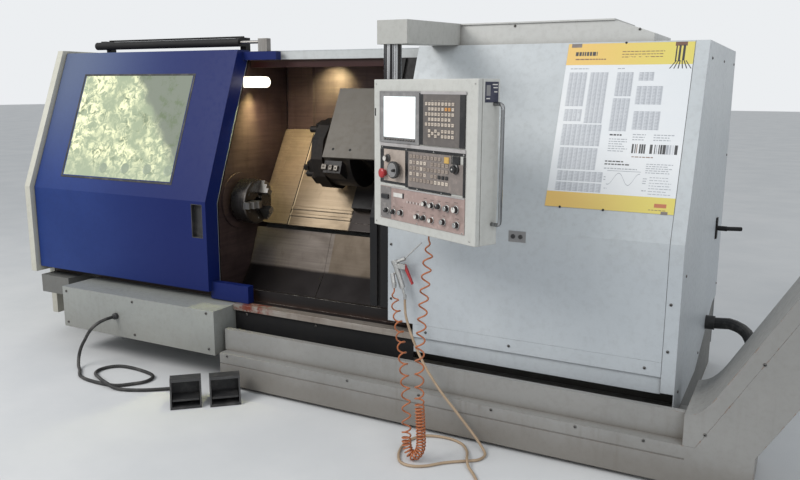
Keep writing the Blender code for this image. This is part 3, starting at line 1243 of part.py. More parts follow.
def air_gun(root):
    """Blow gun on a hook at the foot of the right cover; its lever is sprung."""
    top = Vector((2.583, -0.046, 0.745))
    low = Vector((2.622, -0.046, 0.632))
    way = (low - top).normalized()
    gun = rod("air_gun", top, low, 0.013, "steel", None, 16)
    tail = rod("tail", low - way * 0.01, Vector((2.636, -0.049, 0.590)), 0.0060, "steel", None, 12)
    spout = rod("spout", (2.636, -0.049, 0.5815), (2.636, -0.049, 0.602), 0.0075, "steel", None, 12)
    cap = rod("cap", top - way * 0.016, top + way * 0.004, 0.016, "black", None, 16)
    neck = rod("neck", top + Vector((0.0, 0.0, 0.006)), Vector((2.635, -0.046, 0.775)), 0.008, "black",
               None, 12)
    nozzle = rod("nozzle", (2.630, -0.046, 0.772), (2.717, -0.046, 0.857), 0.0035, "black", None, 8)
    ear = box("ear", (2.600, -0.051, 0.722), (2.626, -0.041, 0.748), "steel")
    hook = rod("hook", (2.590, -0.045, 0.715), (2.590, -GAP, 0.715), 0.005, "steel", None, 10)
    clip = rod("clip", (2.5748, -0.0602, 0.658), (2.5748, -0.0602, 0.690), 0.005, "red", None, 10)
    stub = rod("stub", (2.590, -0.070, 0.636), (2.590, -0.070, 0.660), 0.0105, "red", None, 14)
    coupler = rod("coupler", (2.590, -0.070, 0.645), (2.5748, -0.0602, 0.700), 0.0100, "red", None, 14)
    bridge = rod("bridge", (2.5748, -0.0602, 0.693), (2.590, -0.046, 0.705), 0.005, "red", None, 10)
    cheeks = []
    for side in (-1, 1):
        inner = -0.046 + side * (LEVER_WIDTH / 2 + GAP)
        outer = inner + side * 0.003
        cheeks.append(box("cheek", (2.588, min(inner, outer), 0.725), (2.638, max(inner, outer), 0.746),
                          "steel"))
    join(gun, tail, spout, cap, neck, nozzle, ear, hook, clip, stub, coupler, bridge, *cheeks)
    hold(gun, root)
    pivot = Vector((2.632, -0.046, 0.742))
    axis = empty("gun_trigger_axis", pivot, root)
    outline = [(2.6295, 0.7445), (2.6365, 0.7475), (2.677, 0.660), (2.671, 0.654), (2.6285, 0.735)]
    trigger = prism("gun_trigger", outline, "Y", pivot.y - LEVER_WIDTH / 2, pivot.y + LEVER_WIDTH / 2, "red")
    hold(trigger, axis)


def pedals(root):
    """Two hooded foot switches standing on the floor."""
    for number, place in enumerate(PEDAL_PLACES, start=1):
        frame = Matrix.Translation((*place, 0.0)) @ Matrix.Rotation(math.radians(PEDAL_TURN), 4, "Z")
        half = PEDAL_WIDTH / 2
        front = -PEDAL_DEPTH / 2
        back = PEDAL_DEPTH / 2
        side = [(front, 0.0), (front, 0.012), (front + 0.03, PEDAL_HEIGHT * 0.55),
                (front + 0.05, PEDAL_HEIGHT), (back - 0.03, PEDAL_HEIGHT),
                (back, PEDAL_HEIGHT * 0.6), (back, 0.0)]
        hood = prism(f"pedal_hood_{number}", side, "X", -half, half, "black")
        inside = box("inside", (-half + PEDAL_WALL, front - 0.05, 0.012), (half - PEDAL_WALL, back - 0.035,
                                                                           PEDAL_HEIGHT - 0.012), "black")
        cut(hood, inside)
        hood.data.transform(frame)
        hold(hood, root)
        pivot = (0.0, back - 0.045, 0.030)
        treadle_line = [(front + 0.012, 0.046), (back - 0.045, 0.046), (back - 0.0385, 0.040),
                        (back - 0.0385, 0.020), (back - 0.055, 0.020), (front + 0.012, 0.037)]
        treadle = prism(f"pedal_treadle_{number}", treadle_line, "X", -half + PEDAL_WALL + 0.004,
                        half - PEDAL_WALL - 0.004, "black")
        reach = half - PEDAL_WALL - GAP
        join(treadle, rod("pin", (-reach, pivot[1], pivot[2]), (reach, pivot[1], pivot[2]), 0.005, "black",
                          None, 12))
        treadle.data.transform(frame)
        hold(treadle, empty(f"treadle_{number}_axis", frame @ Vector(pivot), root, PEDAL_TURN))


COOLANT_HOSE = [(MACHINE_LENGTH + 0.004, 1.02, 0.36), (MACHINE_LENGTH + 0.06, 1.02, 0.36),
                (3.98, 0.99, 0.372), (4.06, 0.92, 0.35),
                (4.10, 0.80, 0.27), (4.105, 0.66, 0.18), (4.08, 0.50, 0.115),
                (4.06, CONVEYOR_BACK + 0.07, 0.10),
                (4.06, CONVEYOR_BACK + 0.004, 0.10)]


def coolant_hose(root):
    """Return hose from the right end panel to the conveyor's tank, held at both ends."""
    hose = tube("coolant_hose", smooth_path(COOLANT_HOSE, 26), 0.029, "rubber", 12)
    near = rod("cuff", (MACHINE_LENGTH + GAP, 1.02, 0.36), (MACHINE_LENGTH + 0.045, 1.02, 0.36), 0.036,
               "black", None, 20)
    far = rod("cuff", (4.06, CONVEYOR_BACK + GAP, 0.10), (4.06, CONVEYOR_BACK + 0.05, 0.10), 0.036, "black",
              None, 20)
    join(hose, near, far)
    hold(hose, root)


# Whole machine

FREE_ON_CORDS = ("pedal_cable", "curly_hose", "wash_hose", "air_gun", "gun_trigger", "pedal_hood_1",
                 "pedal_hood_2",
                 "pedal_treadle_1", "pedal_treadle_2")


def centre_footprint(root):
    """Moves the whole machine so that the middle of its footprint is the origin."""
    bpy.context.view_layer.update()
    graph = bpy.context.evaluated_depsgraph_get()
    low = Vector((1e9, 1e9, 1e9))
    high = -low
    for piece in bpy.context.scene.objects:
        if piece.type == "EMPTY" or piece.name in FREE_ON_CORDS:
            continue
        solid = piece.evaluated_get(graph)
        for corner in solid.bound_box:
            point = solid.matrix_world @ Vector(corner)
            low = Vector(map(min, low, point))
            high = Vector(map(max, high, point))
    root.location = (-(low.x + high.x) / 2, -(low.y + high.y) / 2, -low.z)


def main():
    for old in list(bpy.context.scene.objects):
        bpy.data.objects.remove(old)
    root = empty("machine", (0, 0, 0))
    left_end_frame(root)
    right_end_panel(root)
    right_front_cover(root)
    rear_cover(root)
    headstock_cover(root)
    header_beam(root)
    base_casting(root)
    left_base_cover(root)
    sill_and_skirts(root)
    door_post(root)
    end_panel_lever(root)
    work_lamp(root)
    chart(root)
    door(root)
    headstock(root)
    spindle(root)
    bed(root)
    way_covers(root)
    carriage(root)
    conveyor(root)
    roof_duct(root)
    pendant(root)
    air_gun(root)
    pedals(root)
    coolant_hose(root)
    cord("pedal_cable", PEDAL_CABLE, CABLE_RADIUS, 84, "rubber", root)
    cord("curly_hose", CURLY_HOSE, COIL_RADIUS, 64, "orange_hose", root)
    cord("wash_hose", WASH_HOSE, WASH_RADIUS, 80, "tan_hose", root)
    centre_footprint(root)


main()
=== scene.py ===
"""Looks for the turning lathe: camera, light, materials, small parts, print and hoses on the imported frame."""
import math
import random

import bmesh
import bpy
from mathutils import Matrix, Vector
from mathutils.bvhtree import BVHTree


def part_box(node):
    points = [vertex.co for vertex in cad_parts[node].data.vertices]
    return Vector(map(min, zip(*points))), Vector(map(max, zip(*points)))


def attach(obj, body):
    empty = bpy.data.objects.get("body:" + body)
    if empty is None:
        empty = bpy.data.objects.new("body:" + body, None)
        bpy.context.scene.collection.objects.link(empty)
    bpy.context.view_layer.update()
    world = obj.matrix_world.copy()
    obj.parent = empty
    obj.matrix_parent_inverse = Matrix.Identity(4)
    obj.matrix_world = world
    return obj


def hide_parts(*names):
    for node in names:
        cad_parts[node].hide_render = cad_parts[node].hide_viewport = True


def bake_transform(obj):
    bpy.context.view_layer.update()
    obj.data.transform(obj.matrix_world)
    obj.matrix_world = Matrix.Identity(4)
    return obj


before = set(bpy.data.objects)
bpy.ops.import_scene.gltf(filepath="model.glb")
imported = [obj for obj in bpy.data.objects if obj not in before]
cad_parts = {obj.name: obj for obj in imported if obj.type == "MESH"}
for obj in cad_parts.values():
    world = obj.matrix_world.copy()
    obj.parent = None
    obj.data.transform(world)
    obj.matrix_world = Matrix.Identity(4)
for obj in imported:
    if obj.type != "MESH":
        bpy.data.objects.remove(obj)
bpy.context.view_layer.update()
random.seed(7)

# Machine coordinates start at the left end, at the front cover's lower edge, on the floor.
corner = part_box("left_end_frame")[0]
SHIFT = Vector((corner.x, corner.y + 0.03, 0.0))

# The covers' bent front: height of the fold, height of the top and how far the top lies back
FOLD, COVER_TOP, SETBACK = 0.945, 1.75, 0.316


def at(x, y, z):
    return Vector((x, y, z)) + SHIFT


def mm(*values):
    """A vector given in millimetres."""
    return Vector([value / 1000 for value in values])


def turn_between(start, end):
    """A matrix at start whose Z axis points to end."""
    direction = (Vector(end) - Vector(start)).normalized()
    return Matrix.Translation(start) @ direction.to_track_quat("Z", "Y").to_matrix().to_4x4()


def put(name, data):
    made = bpy.data.objects.new(name, data)
    bpy.context.scene.collection.objects.link(made)
    return made


# Materials

def rgba(colour):
    return (*colour, 1.0) if isinstance(colour, tuple) else colour


def new_node(tree, kind, inputs=None, **settings):
    """A node in a tree. An input given as a socket is linked, anything else is set on it."""
    made = tree.nodes.new(kind)
    for key, value in settings.items():
        setattr(made, key, value)
    for key, value in (inputs or {}).items():
        if isinstance(value, bpy.types.NodeSocket):
            tree.links.new(value, made.inputs[key])
        else:
            made.inputs[key].default_value = value
    return made


class Nodes:
    """A material's node tree and the steps that looks are made of."""

    def __init__(self, name):
        self.material = bpy.data.materials.new(name)
        self.material.use_nodes = True
        self.tree = self.material.node_tree
        self.tree.nodes.clear()
        self.place = self.make("ShaderNodeTexCoord").outputs["Object"]

    def make(self, kind, inputs=None, **settings):
        return new_node(self.tree, kind, inputs, **settings)

    def stretch(self, scale):
        return self.make("ShaderNodeMapping", {"Vector": self.place, "Scale": scale}).outputs[0]

    def noise(self, scale, detail=3.0, rough=0.55, over=None, warp=0.0):
        inputs = {"Vector": over or self.place, "Scale": scale, "Detail": detail, "Roughness": rough,
                  "Distortion": warp}
        return self.make("ShaderNodeTexNoise", inputs).outputs["Fac"]

    def spread(self, value, low, high):
        """0 at low and 1 at high, with soft ends."""
        inputs = {"Value": value, "From Min": low, "From Max": high}
        return self.make("ShaderNodeMapRange", inputs, interpolation_type="SMOOTHSTEP").outputs[0]

    def calc(self, operation, a, b):
        return self.make("ShaderNodeMath", {0: a, 1: b}, operation=operation).outputs[0]

    def times(self, value, *others):
        for other in others:
            value = self.calc("MULTIPLY", value, other)
        return value

    def plus(self, a, b):
        return self.calc("ADD", a, b)

    def mix(self, share, a, b):
        return self.make("ShaderNodeMix", {0: share, 6: rgba(a), 7: rgba(b)}, data_type="RGBA").outputs[2]

    def axes(self, vector=None):
        made = self.make("ShaderNodeSeparateXYZ", {"Vector": vector or self.place})
        return made.outputs["X"], made.outputs["Y"], made.outputs["Z"]

    def along_x(self, low, high):
        """0 to 1 between two places along the machine."""
        return self.spread(self.axes()[0], SHIFT.x + low, SHIFT.x + high)

    def soft_edge(self, radius):
        return self.make("ShaderNodeBevel", {"Radius": radius}, samples=4).outputs[0]

    def edge(self, radius, low=0.985, high=0.8):
        """1 on convex and concave edges, 0 on flats."""
        plain = self.make("ShaderNodeNewGeometry").outputs["Normal"]
        dot = self.make("ShaderNodeVectorMath", {0: self.soft_edge(radius), 1: plain}, operation="DOT_PRODUCT")
        return self.spread(dot.outputs["Value"], low, high)

    def corner(self, distance):
        """1 in corners and gaps, 0 in the open; the looks darken by it to paint shade there."""
        made = self.make("ShaderNodeAmbientOcclusion", {"Distance": distance}, samples=6)
        return self.spread(made.outputs["AO"], 0.9, 0.25)

    def bump(self, height, strength, distance, normal=None):
        inputs = {"Height": height, "Strength": strength, "Distance": distance}
        if normal is not None:
            inputs["Normal"] = normal
        return self.make("ShaderNodeBump", inputs).outputs[0]

    def window(self, value, low, high, soft=0.0006):
        """1 between low and high."""
        return self.times(self.spread(value, low - soft, low + soft), self.spread(value, high + soft, high - soft))

    def finish(self, colour, rough, metal, normal=None, gloss=0.5, **more):
        inputs = {"Base Color": rgba(colour), "Roughness": rough, "Metallic": metal, "Specular IOR Level": gloss,
                  **more}
        if normal is not None:
            inputs["Normal"] = normal
        shader = self.make("ShaderNodeBsdfPrincipled", inputs)
        self.make("ShaderNodeOutputMaterial", {"Surface": shader.outputs[0]})
        return self.material


PAINT_EDGE = 0.0025
STEEL_EDGE = 0.0015


def painted(name, colour, second, rough=0.42, grime_and_shade=(0.11, 0.085, 0.06), streaks=0.18, corners=0.45, wear=0.35,
            under=(0.2, 0.17, 0.15), foot=None, extra=None, gloss=0.5):
    """Sheet-metal paint: slow tone changes, dust, run-down streaks, painted shade in corners and gaps, and rubbed
    edges.
    """
    n = Nodes(name)
    tone = n.mix(n.spread(n.noise(1.6, 4, 0.6), 0.35, 0.7), colour, second)
    fine = n.spread(n.noise(38, 4, 0.65), 0.42, 0.72)
    tone = n.mix(n.times(fine, 0.1), tone, grime_and_shade)
    run = n.spread(n.noise(1.0, 4, 0.6, n.stretch((26, 26, 1.3))), 0.5, 0.78)
    run = n.times(run, n.spread(n.noise(2.2, 3), 0.45, 0.75), streaks)
    tone = n.mix(run, tone, grime_and_shade)
    specks = n.spread(n.noise(190, 2, 0.5), 0.7, 0.78)
    tone = n.mix(n.times(specks, 0.35), tone, grime_and_shade)
    if extra:
        tone = extra(n, tone)
    if foot:
        low, high, amount = foot
        line = n.plus(n.axes()[2], n.times(n.noise(9, 4), -0.1))
        tone = n.mix(n.times(n.spread(line, high, low), amount), tone, grime_and_shade)
    # Painted shade: corners and gaps are darkened by the occlusion mask towards the grime colour.
    tone = n.mix(n.times(n.corner(0.05), corners), tone, grime_and_shade)
    rub = n.times(n.edge(PAINT_EDGE * 1.5), n.spread(n.noise(30, 4, 0.7), 0.52, 0.66))
    tone = n.mix(n.times(rub, wear), tone, under)
    height = n.plus(n.noise(420, 2), n.times(n.noise(3.0, 2), 6.0))
    normal = n.bump(height, 0.1, 0.0006, n.soft_edge(PAINT_EDGE))
    shine = n.plus(n.times(fine, 0.12), n.plus(n.times(run, 0.6), rough))
    return n.finish(tone, shine, 0.0, normal, gloss)


def brushed(name, colour, second, rough, metal, grain, amount, stain_and_shade=(0.05, 0.035, 0.025), drops=0.25,
            shine_edge=(0.75, 0.7, 0.62), extra=None, gloss=0.5):
    """Bare or oily sheet and machined steel with a grain along one way."""
    n = Nodes(name)
    lines = n.noise(1.0, 5, 0.7, n.stretch(grain))
    tone = n.mix(n.spread(lines, 0.3, 0.7), colour, second)
    cloud = n.spread(n.noise(3.2, 5, 0.6, warp=0.4), 0.42, 0.72)
    tone = n.mix(n.times(cloud, amount), tone, stain_and_shade)
    wet = n.spread(n.noise(1.0, 4, 0.6, n.stretch((34, 34, 3.0))), 0.52, 0.74)
    tone = n.mix(n.times(wet, drops), tone, stain_and_shade)
    if extra:
        tone = extra(n, tone)
    # Painted shade: corners and gaps are darkened by the occlusion mask towards the stain colour.
    tone = n.mix(n.times(n.corner(0.04), 0.55), tone, stain_and_shade)
    rim = n.times(n.edge(STEEL_EDGE * 1.4), n.spread(n.noise(24, 3), 0.4, 0.6))
    tone = n.mix(n.times(rim, 0.55), tone, shine_edge)
    normal = n.bump(n.plus(lines, n.times(n.noise(5, 2), 2.0)), 0.12, 0.0005, n.soft_edge(STEEL_EDGE))
    shine = n.plus(n.times(cloud, 0.18), n.plus(n.times(lines, 0.1), rough - 0.05))
    return n.finish(tone, shine, metal, normal, gloss)


def moulded(name, colour, rough=0.5, scuff=(0.16, 0.15, 0.14), dust=0.3, edge=0.0015):
    """Plastic or rubber with a fine grain, dust and scuffed edges."""
    n = Nodes(name)
    tone = n.mix(n.times(n.spread(n.noise(16, 4, 0.6), 0.45, 0.75), dust), colour, scuff)
    tone = n.mix(n.times(n.edge(edge * 1.5), 0.5), tone, scuff)
    normal = n.bump(n.noise(900, 2), 0.15, 0.0004, n.soft_edge(edge))
    return n.finish(tone, n.plus(n.times(n.noise(30, 3), 0.2), rough - 0.1), 0.0, normal)


def cool_foot_shade(n, tone):
    """Painted shade: a faint bluish darkening towards the foot."""
    return n.mix(n.times(n.spread(n.axes()[2], 1.0, 0.75), 0.25), tone, (0.36, 0.4, 0.45))


def door_glare(n, tone):
    """Painted reflection: the door's paint is lightened to a greyish glare at the left and top, and deepened towards
    the closing edge, where no glare lies.
    """
    side = n.along_x(1.25, 0.1)
    glare_share = n.times(side, n.spread(n.axes()[2], 0.9, 1.7), 0.75)
    tone = n.mix(glare_share, tone, (0.13, 0.16, 0.23))
    return n.mix(n.times(n.calc("SUBTRACT", 1.0, side), 0.85), tone, (0.003, 0.0085, 0.085))


def lip_rust(n, tone):
    """Rust on the edges near the conveyor's bend."""
    spot = n.spread(n.noise(22, 5, 0.7), 0.5, 0.62)
    return n.mix(n.times(spot, n.along_x(3.8, 3.97), n.edge(0.006, 0.99, 0.9)), tone, (0.22, 0.09, 0.035))


def sill_wear_and_shade(n, tone):
    """Red primer shows through the worn left part of the sill's lip; the step behind it is painted near black as
    painted shade under the door.
    """
    _, y, z = n.axes()
    spot = n.spread(n.noise(26, 5, 0.7), 0.44, 0.6)
    left = n.times(n.along_x(1.35, 1.45), n.along_x(1.9, 1.72))
    tone = n.mix(n.times(spot, left), tone, (0.2, 0.04, 0.022))
    behind = n.calc("MAXIMUM", n.spread(z, 0.4075, 0.4105), n.spread(y, SHIFT.y + 0.05, SHIFT.y + 0.058))
    return n.mix(behind, tone, (0.01, 0.008, 0.008))


def beam_lip_tint_and_shade(n, tone):
    """The beam's lower lip is dark red-brown: its own red-brown colour, deepened by painted shade."""
    line = n.plus(n.axes()[2], n.times(n.noise(9, 3), 0.004))
    return n.mix(n.spread(line, 1.7065, 1.7025), tone, (0.03, 0.006, 0.005))


def panel_shade(n, tone):
    """Painted shade: below its second bend the panel is painted near black as shadow, and right of about 1.93 m the
    sheet is darker and browner.
    """
    tone = n.mix(n.times(n.along_x(1.925, 1.93), 0.6), tone, (0.085, 0.062, 0.038))
    line = n.plus(n.axes()[2], n.times(n.noise(5, 4), 0.012))
    return n.mix(n.spread(line, 0.552, 0.532), tone, (0.011, 0.009, 0.009))


def saddle_shade(n, tone):
    """Painted shade and highlight: a dark painted shadow strip along the left edge with a painted highlight rim
    beside it; right of about 2.02 m the dark saddle casting is painted near black, deepened as painted shadow.
    """
    x = n.axes()[0]
    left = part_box("carriage_saddle")[0].x
    tone = n.mix(n.window(x, left + 0.007, left + 0.014), tone, (0.5, 0.42, 0.3))
    tone = n.mix(n.spread(x, left + 0.007, left + 0.005), tone, (0.012, 0.009, 0.008))
    return n.mix(n.along_x(2.005, 2.02), tone, (0.016, 0.013, 0.012))


def housing_shade(n, tone):
    """Painted shade: under the cover plate the housing is painted near black, as the shadow there."""
    return n.mix(n.spread(n.axes()[2], 1.192, 1.182), tone, (0.012, 0.01, 0.01))


def lens_material():
    n = Nodes("lamp_lens")
    tone = n.mix(n.spread(n.noise(12, 2), 0.3, 0.8), (1.0, 0.93, 0.8), (1.0, 0.86, 0.62))
    return n.finish(tone, 0.15, 0.0, n.bump(n.noise(60, 1), 0.05, 0.0005),
                    **{"Emission Color": tone, "Emission Strength": 2.2})


def pane_material():
    """Laminated safety pane: greenish film with painted reflections (mottled foliage in a lighter diagonal sheen, and
    a lighter band low down) and fine scratches.
    """
    n = Nodes("pane")
    x, _, z = n.axes()
    leaf = n.spread(n.noise(24, 6, 0.72, warp=0.8), 0.42, 0.6)
    clump = n.spread(n.noise(4.5, 4, 0.6), 0.34, 0.56)
    # Painted reflection: a lighter sheen on one side of a diagonal line across the pane.
    diagonal = n.plus(n.times(n.calc("SUBTRACT", x, SHIFT.x + 0.62), -1.15), n.calc("SUBTRACT", 1.68, z))
    reflected_sheen = n.spread(n.plus(diagonal, n.times(n.noise(14, 4), 0.12)), -0.02, 0.1)
    tone = n.mix(reflected_sheen, (0.19, 0.215, 0.165), (0.34, 0.4, 0.26))
    tone = n.mix(n.spread(n.noise(9, 5, 0.7), 0.5, 0.7), tone, (0.13, 0.17, 0.09))
    tone = n.mix(n.times(leaf, clump, reflected_sheen), tone, (1.0, 1.0, 0.62))
    # Painted reflection: lighter and greener towards the pane's foot.
    tone = n.mix(n.times(n.spread(z, 1.2, 1.02), 0.6), tone, (0.36, 0.42, 0.29))
    scratch = n.noise(1.0, 4, 0.7, n.stretch((3, 200, 200)))
    return n.finish(tone, 0.16, 0.0, n.bump(scratch, 0.05, 0.0004), **{"Coat Weight": 0.5, "Coat Roughness": 0.05})


def arm_material():
    """Painted arm with painted shade in its corners; the post under it is dark plated steel with painted bright
    reflection lines down it.
    """
    n = Nodes("arm_look")
    arm_foot = 1.728
    grime_and_shade = (0.11, 0.085, 0.06)
    post = n.spread(n.axes()[2], arm_foot + 0.0015, arm_foot - 0.0005)
    paint = n.mix(n.spread(n.noise(1.6, 4, 0.6), 0.35, 0.7), (0.4, 0.4, 0.375), (0.45, 0.445, 0.42))
    fine = n.spread(n.noise(38, 4, 0.65), 0.42, 0.72)
    paint = n.mix(n.times(fine, 0.12), paint, grime_and_shade)
    # Painted shade in the arm's corners and gaps.
    paint = n.mix(n.times(n.corner(0.05), 0.4), paint, grime_and_shade)
    # Painted reflection: bright lines run down the dark post.
    lines = n.spread(n.noise(1.0, 3, 0.6, n.stretch((34, 34, 0.4))), 0.52, 0.6)
    steel = n.mix(lines, (0.03, 0.029, 0.03), (0.5, 0.5, 0.5))
    normal = n.bump(n.plus(n.noise(420, 2), n.times(n.noise(3.0, 2), 6.0)), 0.1, 0.0006, n.soft_edge(PAINT_EDGE))
    rough = n.plus(n.times(post, -0.2), n.plus(n.times(fine, 0.1), 0.44))
    return n.finish(n.mix(post, paint, steel), rough, n.times(post, 0.8), normal)


def dress(look, *nodes):
    for name in nodes:
        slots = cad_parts[name].data.materials
        slots.clear()
        slots.append(look)


pendant_paint = painted("pendant_paint", (0.52, 0.52, 0.49), (0.57, 0.565, 0.53), streaks=0.12, wear=0.5)
zinc = brushed("zinc", (0.42, 0.42, 0.41), (0.55, 0.55, 0.53), 0.35, 0.9, (90, 90, 90), 0.25)
brass = brushed("brass", (0.5, 0.34, 0.12), (0.6, 0.42, 0.17), 0.3, 1.0, (90, 90, 90), 0.3)
screw_steel = brushed("screw_steel", (0.1, 0.098, 0.095), (0.2, 0.195, 0.19), 0.35, 0.85, (90, 90, 90), 0.45)
bolt_steel = brushed("bolt_steel", (0.1, 0.09, 0.08), (0.18, 0.165, 0.145), 0.35, 0.85, (90, 90, 90), 0.3)
black_rubber = moulded("black_rubber", (0.018, 0.018, 0.018), 0.62, dust=0.45)
tan_rubber = moulded("tan_rubber", (0.4, 0.29, 0.19), 0.48, (0.24, 0.17, 0.11), 0.5)
orange_coil = moulded("orange_coil", (0.42, 0.13, 0.045), 0.32, (0.22, 0.08, 0.04), 0.6)
# Painted shade: near black for screw sockets and the pendant's gap, where shade falls.
recess_shade = moulded("recess_shade", (0.008, 0.008, 0.008), 0.8, dust=0.1)

dress(painted("white_paint", (0.5, 0.53, 0.55), (0.545, 0.575, 0.59), extra=cool_foot_shade, foot=(0.0, 0.45, 0.22)),
      "right_end_panel", "right_front_cover", "rear_cover", "headstock_cover", "front_skirt")
dress(painted("header_paint", (0.5, 0.52, 0.52), (0.545, 0.56, 0.56), extra=beam_lip_tint_and_shade, gloss=0.3), "header_beam")
# Painted shade: the base cover's white paint at about half its brightness, as the shade low on the machine's front.
dress(painted("shaded_base_paint", (0.265, 0.275, 0.262), (0.305, 0.315, 0.295), streaks=0.25, foot=(0.1, 0.3, 0.25)),
      "left_base_cover")
dress(painted("cream_paint", (0.52, 0.51, 0.44), (0.57, 0.56, 0.49), streaks=0.3, foot=(0.0, 0.5, 0.3)),
      "left_end_frame")
# Painted shade: the conveyor's white paint at about half its brightness, as the shade it stands in.
dress(painted("shaded_conveyor_paint", (0.245, 0.242, 0.232), (0.285, 0.28, 0.268), streaks=0.35, corners=0.6, wear=0.7,
              foot=(0.0, 0.16, 0.45), extra=lip_rust, under=(0.17, 0.1, 0.07)),
      "conveyor_body", "conveyor_guard", "conveyor_hood", "conveyor_head")
dress(painted("duct_paint", (0.53, 0.53, 0.51), (0.58, 0.575, 0.55), streaks=0.2), "roof_duct")
dress(arm_material(), "pendant_arm")
dress(pendant_paint, "pendant_case")
dress(painted("plate_paint", (0.112, 0.1, 0.084), (0.14, 0.124, 0.103), rough=0.45, streaks=0.3, corners=0.5,
              extra=housing_shade, gloss=0.3), "turret_housing")
dress(painted("blue_paint", (0.014, 0.036, 0.163), (0.02, 0.046, 0.192), streaks=0.06, corners=0.25,
              grime_and_shade=(0.03, 0.037, 0.07), wear=0.15, under=(0.08, 0.095, 0.17), extra=door_glare, gloss=0.2),
      "door_panel")
dress(pane_material(), "door_window")
dress(painted("black_paint", (0.008, 0.008, 0.009), (0.014, 0.0135, 0.0135), rough=0.55,
              grime_and_shade=(0.032, 0.026, 0.021), streaks=0.2, corners=0.3, wear=0.5, under=(0.12, 0.105, 0.095),
              gloss=0.25),
      "sill_skirt", "door_post", "side_latch", "door_cylinder")
dress(moulded("black_plastic", (0.022, 0.022, 0.023)), "door_pull", "handwheel", "override_knob", "pedal_hood_1",
      "pedal_hood_2", "pedal_treadle_1", "pedal_treadle_2", "cable_gland")
dress(painted("cast_paint", (0.12, 0.12, 0.115), (0.16, 0.16, 0.15), rough=0.6, streaks=0.3, corners=0.6),
      "base_casting", "slant_bed", "headstock_casting")
dress(brushed("wall_steel", (0.058, 0.037, 0.037), (0.088, 0.058, 0.053), 0.42, 0.45, (3, 3, 60), 0.5,
              stain_and_shade=(0.018, 0.011, 0.011), shine_edge=(0.06, 0.04, 0.035), gloss=0.3),
      "headstock_wall", "inner_rear_wall")
dress(brushed("leaf_steel", (0.27, 0.205, 0.135), (0.335, 0.26, 0.175), 0.36, 0.6, (2, 90, 90), 0.3, drops=0.12),
      "fixed_way_cover", "right_fixed_way_cover", "way_cover_left_1", "way_cover_left_2", "way_cover_right_1")
# Painted shade: the way-cover leaf steel at about three quarters of its brightness, as the shade on the saddle's
# leaf.
dress(brushed("shaded_saddle_steel", (0.2, 0.155, 0.105), (0.255, 0.2, 0.138), 0.36, 0.6, (2, 90, 90), 0.3, drops=0.12,
              extra=saddle_shade, gloss=0.2), "carriage_saddle")
dress(brushed("panel_steel", (0.115, 0.098, 0.088), (0.15, 0.13, 0.114), 0.42, 0.5, (2, 80, 80), 0.35,
              extra=panel_shade, shine_edge=(0.22, 0.19, 0.16), gloss=0.15), "lower_slope_panel")
dress(brushed("worn_sill", (0.27, 0.24, 0.21), (0.35, 0.315, 0.28), 0.42, 0.4, (3, 90, 90), 0.35,
              stain_and_shade=(0.1, 0.05, 0.03), extra=sill_wear_and_shade), "door_sill")
dress(brushed("machined_steel", (0.26, 0.25, 0.24), (0.36, 0.35, 0.33), 0.28, 0.95, (220, 5, 5), 0.35),
      "jaw_1", "jaw_2", "jaw_3", "cylinder_rod")
dress(brushed("chuck_steel", (0.085, 0.08, 0.076), (0.14, 0.132, 0.124), 0.24, 0.95, (220, 5, 5), 0.45,
              shine_edge=(0.42, 0.38, 0.33)), "spindle_chuck")
dress(brushed("dark_steel", (0.01, 0.0095, 0.009), (0.017, 0.016, 0.015), 0.42, 0.45, (60, 60, 60), 0.3,
              shine_edge=(0.13, 0.12, 0.11), gloss=0.25), "turret_disc")
dress(zinc, "air_gun")
# Painted reflection: dark chrome with bright vertical lines of reflection down the handle.
dress(brushed("chromed", (0.12, 0.125, 0.13), (0.42, 0.43, 0.44), 0.2, 0.9, (150, 150, 1.5), 0.25, drops=0.2),
      "pendant_handle")
dress(moulded("red_plastic", (0.42, 0.02, 0.025), 0.35, (0.25, 0.08, 0.07)), "e_stop_button", "gun_trigger")
dress(black_rubber, "coolant_hose")
dress(lens_material(), "work_lamp")


# Mesh helpers

def add(name, bm, looks, body="cabinet"):
    """Puts a finished bmesh into the scene on a body."""
    data = bpy.data.meshes.new(name)
    bm.to_mesh(data)
    bm.free()
    for look in looks:
        data.materials.append(look)
    made = put(name, data)
    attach(made, body)
    return made


def block(bm, low, high, matrix, index=0, bevel=0.0):
    """A box between two corners in mm, moved by the matrix."""
    low, high = mm(*low), mm(*high)
    verts = bmesh.ops.create_cube(bm, size=1.0)["verts"]
    bmesh.ops.scale(bm, vec=high - low, verts=verts)
    bmesh.ops.translate(bm, vec=(high + low) / 2, verts=verts)
    faces = {f for v in verts for f in v.link_faces}
    if bevel:
        edges = list({e for f in faces for e in f.edges})
        out = bmesh.ops.bevel(bm, geom=edges, offset=bevel / 1000, segments=2, affect="EDGES", profile=0.7)
        faces = {f for v in out["verts"] for f in v.link_faces} | {f for f in faces if f.is_valid}
        verts = list({v for f in faces for v in f.verts})
    for f in faces:
        f.material_index = index
    bmesh.ops.transform(bm, matrix=matrix, verts=verts)


def lathe(bm, profile, matrix, steps, index=0):
    """A body of revolution from (along, radius) points in mm about the matrix's Z axis."""
    turns = [2 * math.pi * i / steps for i in range(steps)]
    rings = [[bm.verts.new(matrix @ mm(radius * math.cos(turn), radius * math.sin(turn), along))
              for turn in (turns if radius else turns[:1])] for along, radius in profile]
    for low, high in zip(rings, rings[1:]):
        for i in range(steps):
            j = (i + 1) % steps
            if len(low) == len(high) == 1:
                break
            if len(low) == 1:
                face = (low[0], high[j], high[i])
            elif len(high) == 1:
                face = (low[i], low[j], high[0])
            else:
                face = (low[i], low[j], high[j], high[i])
            bm.faces.new(face).material_index = index


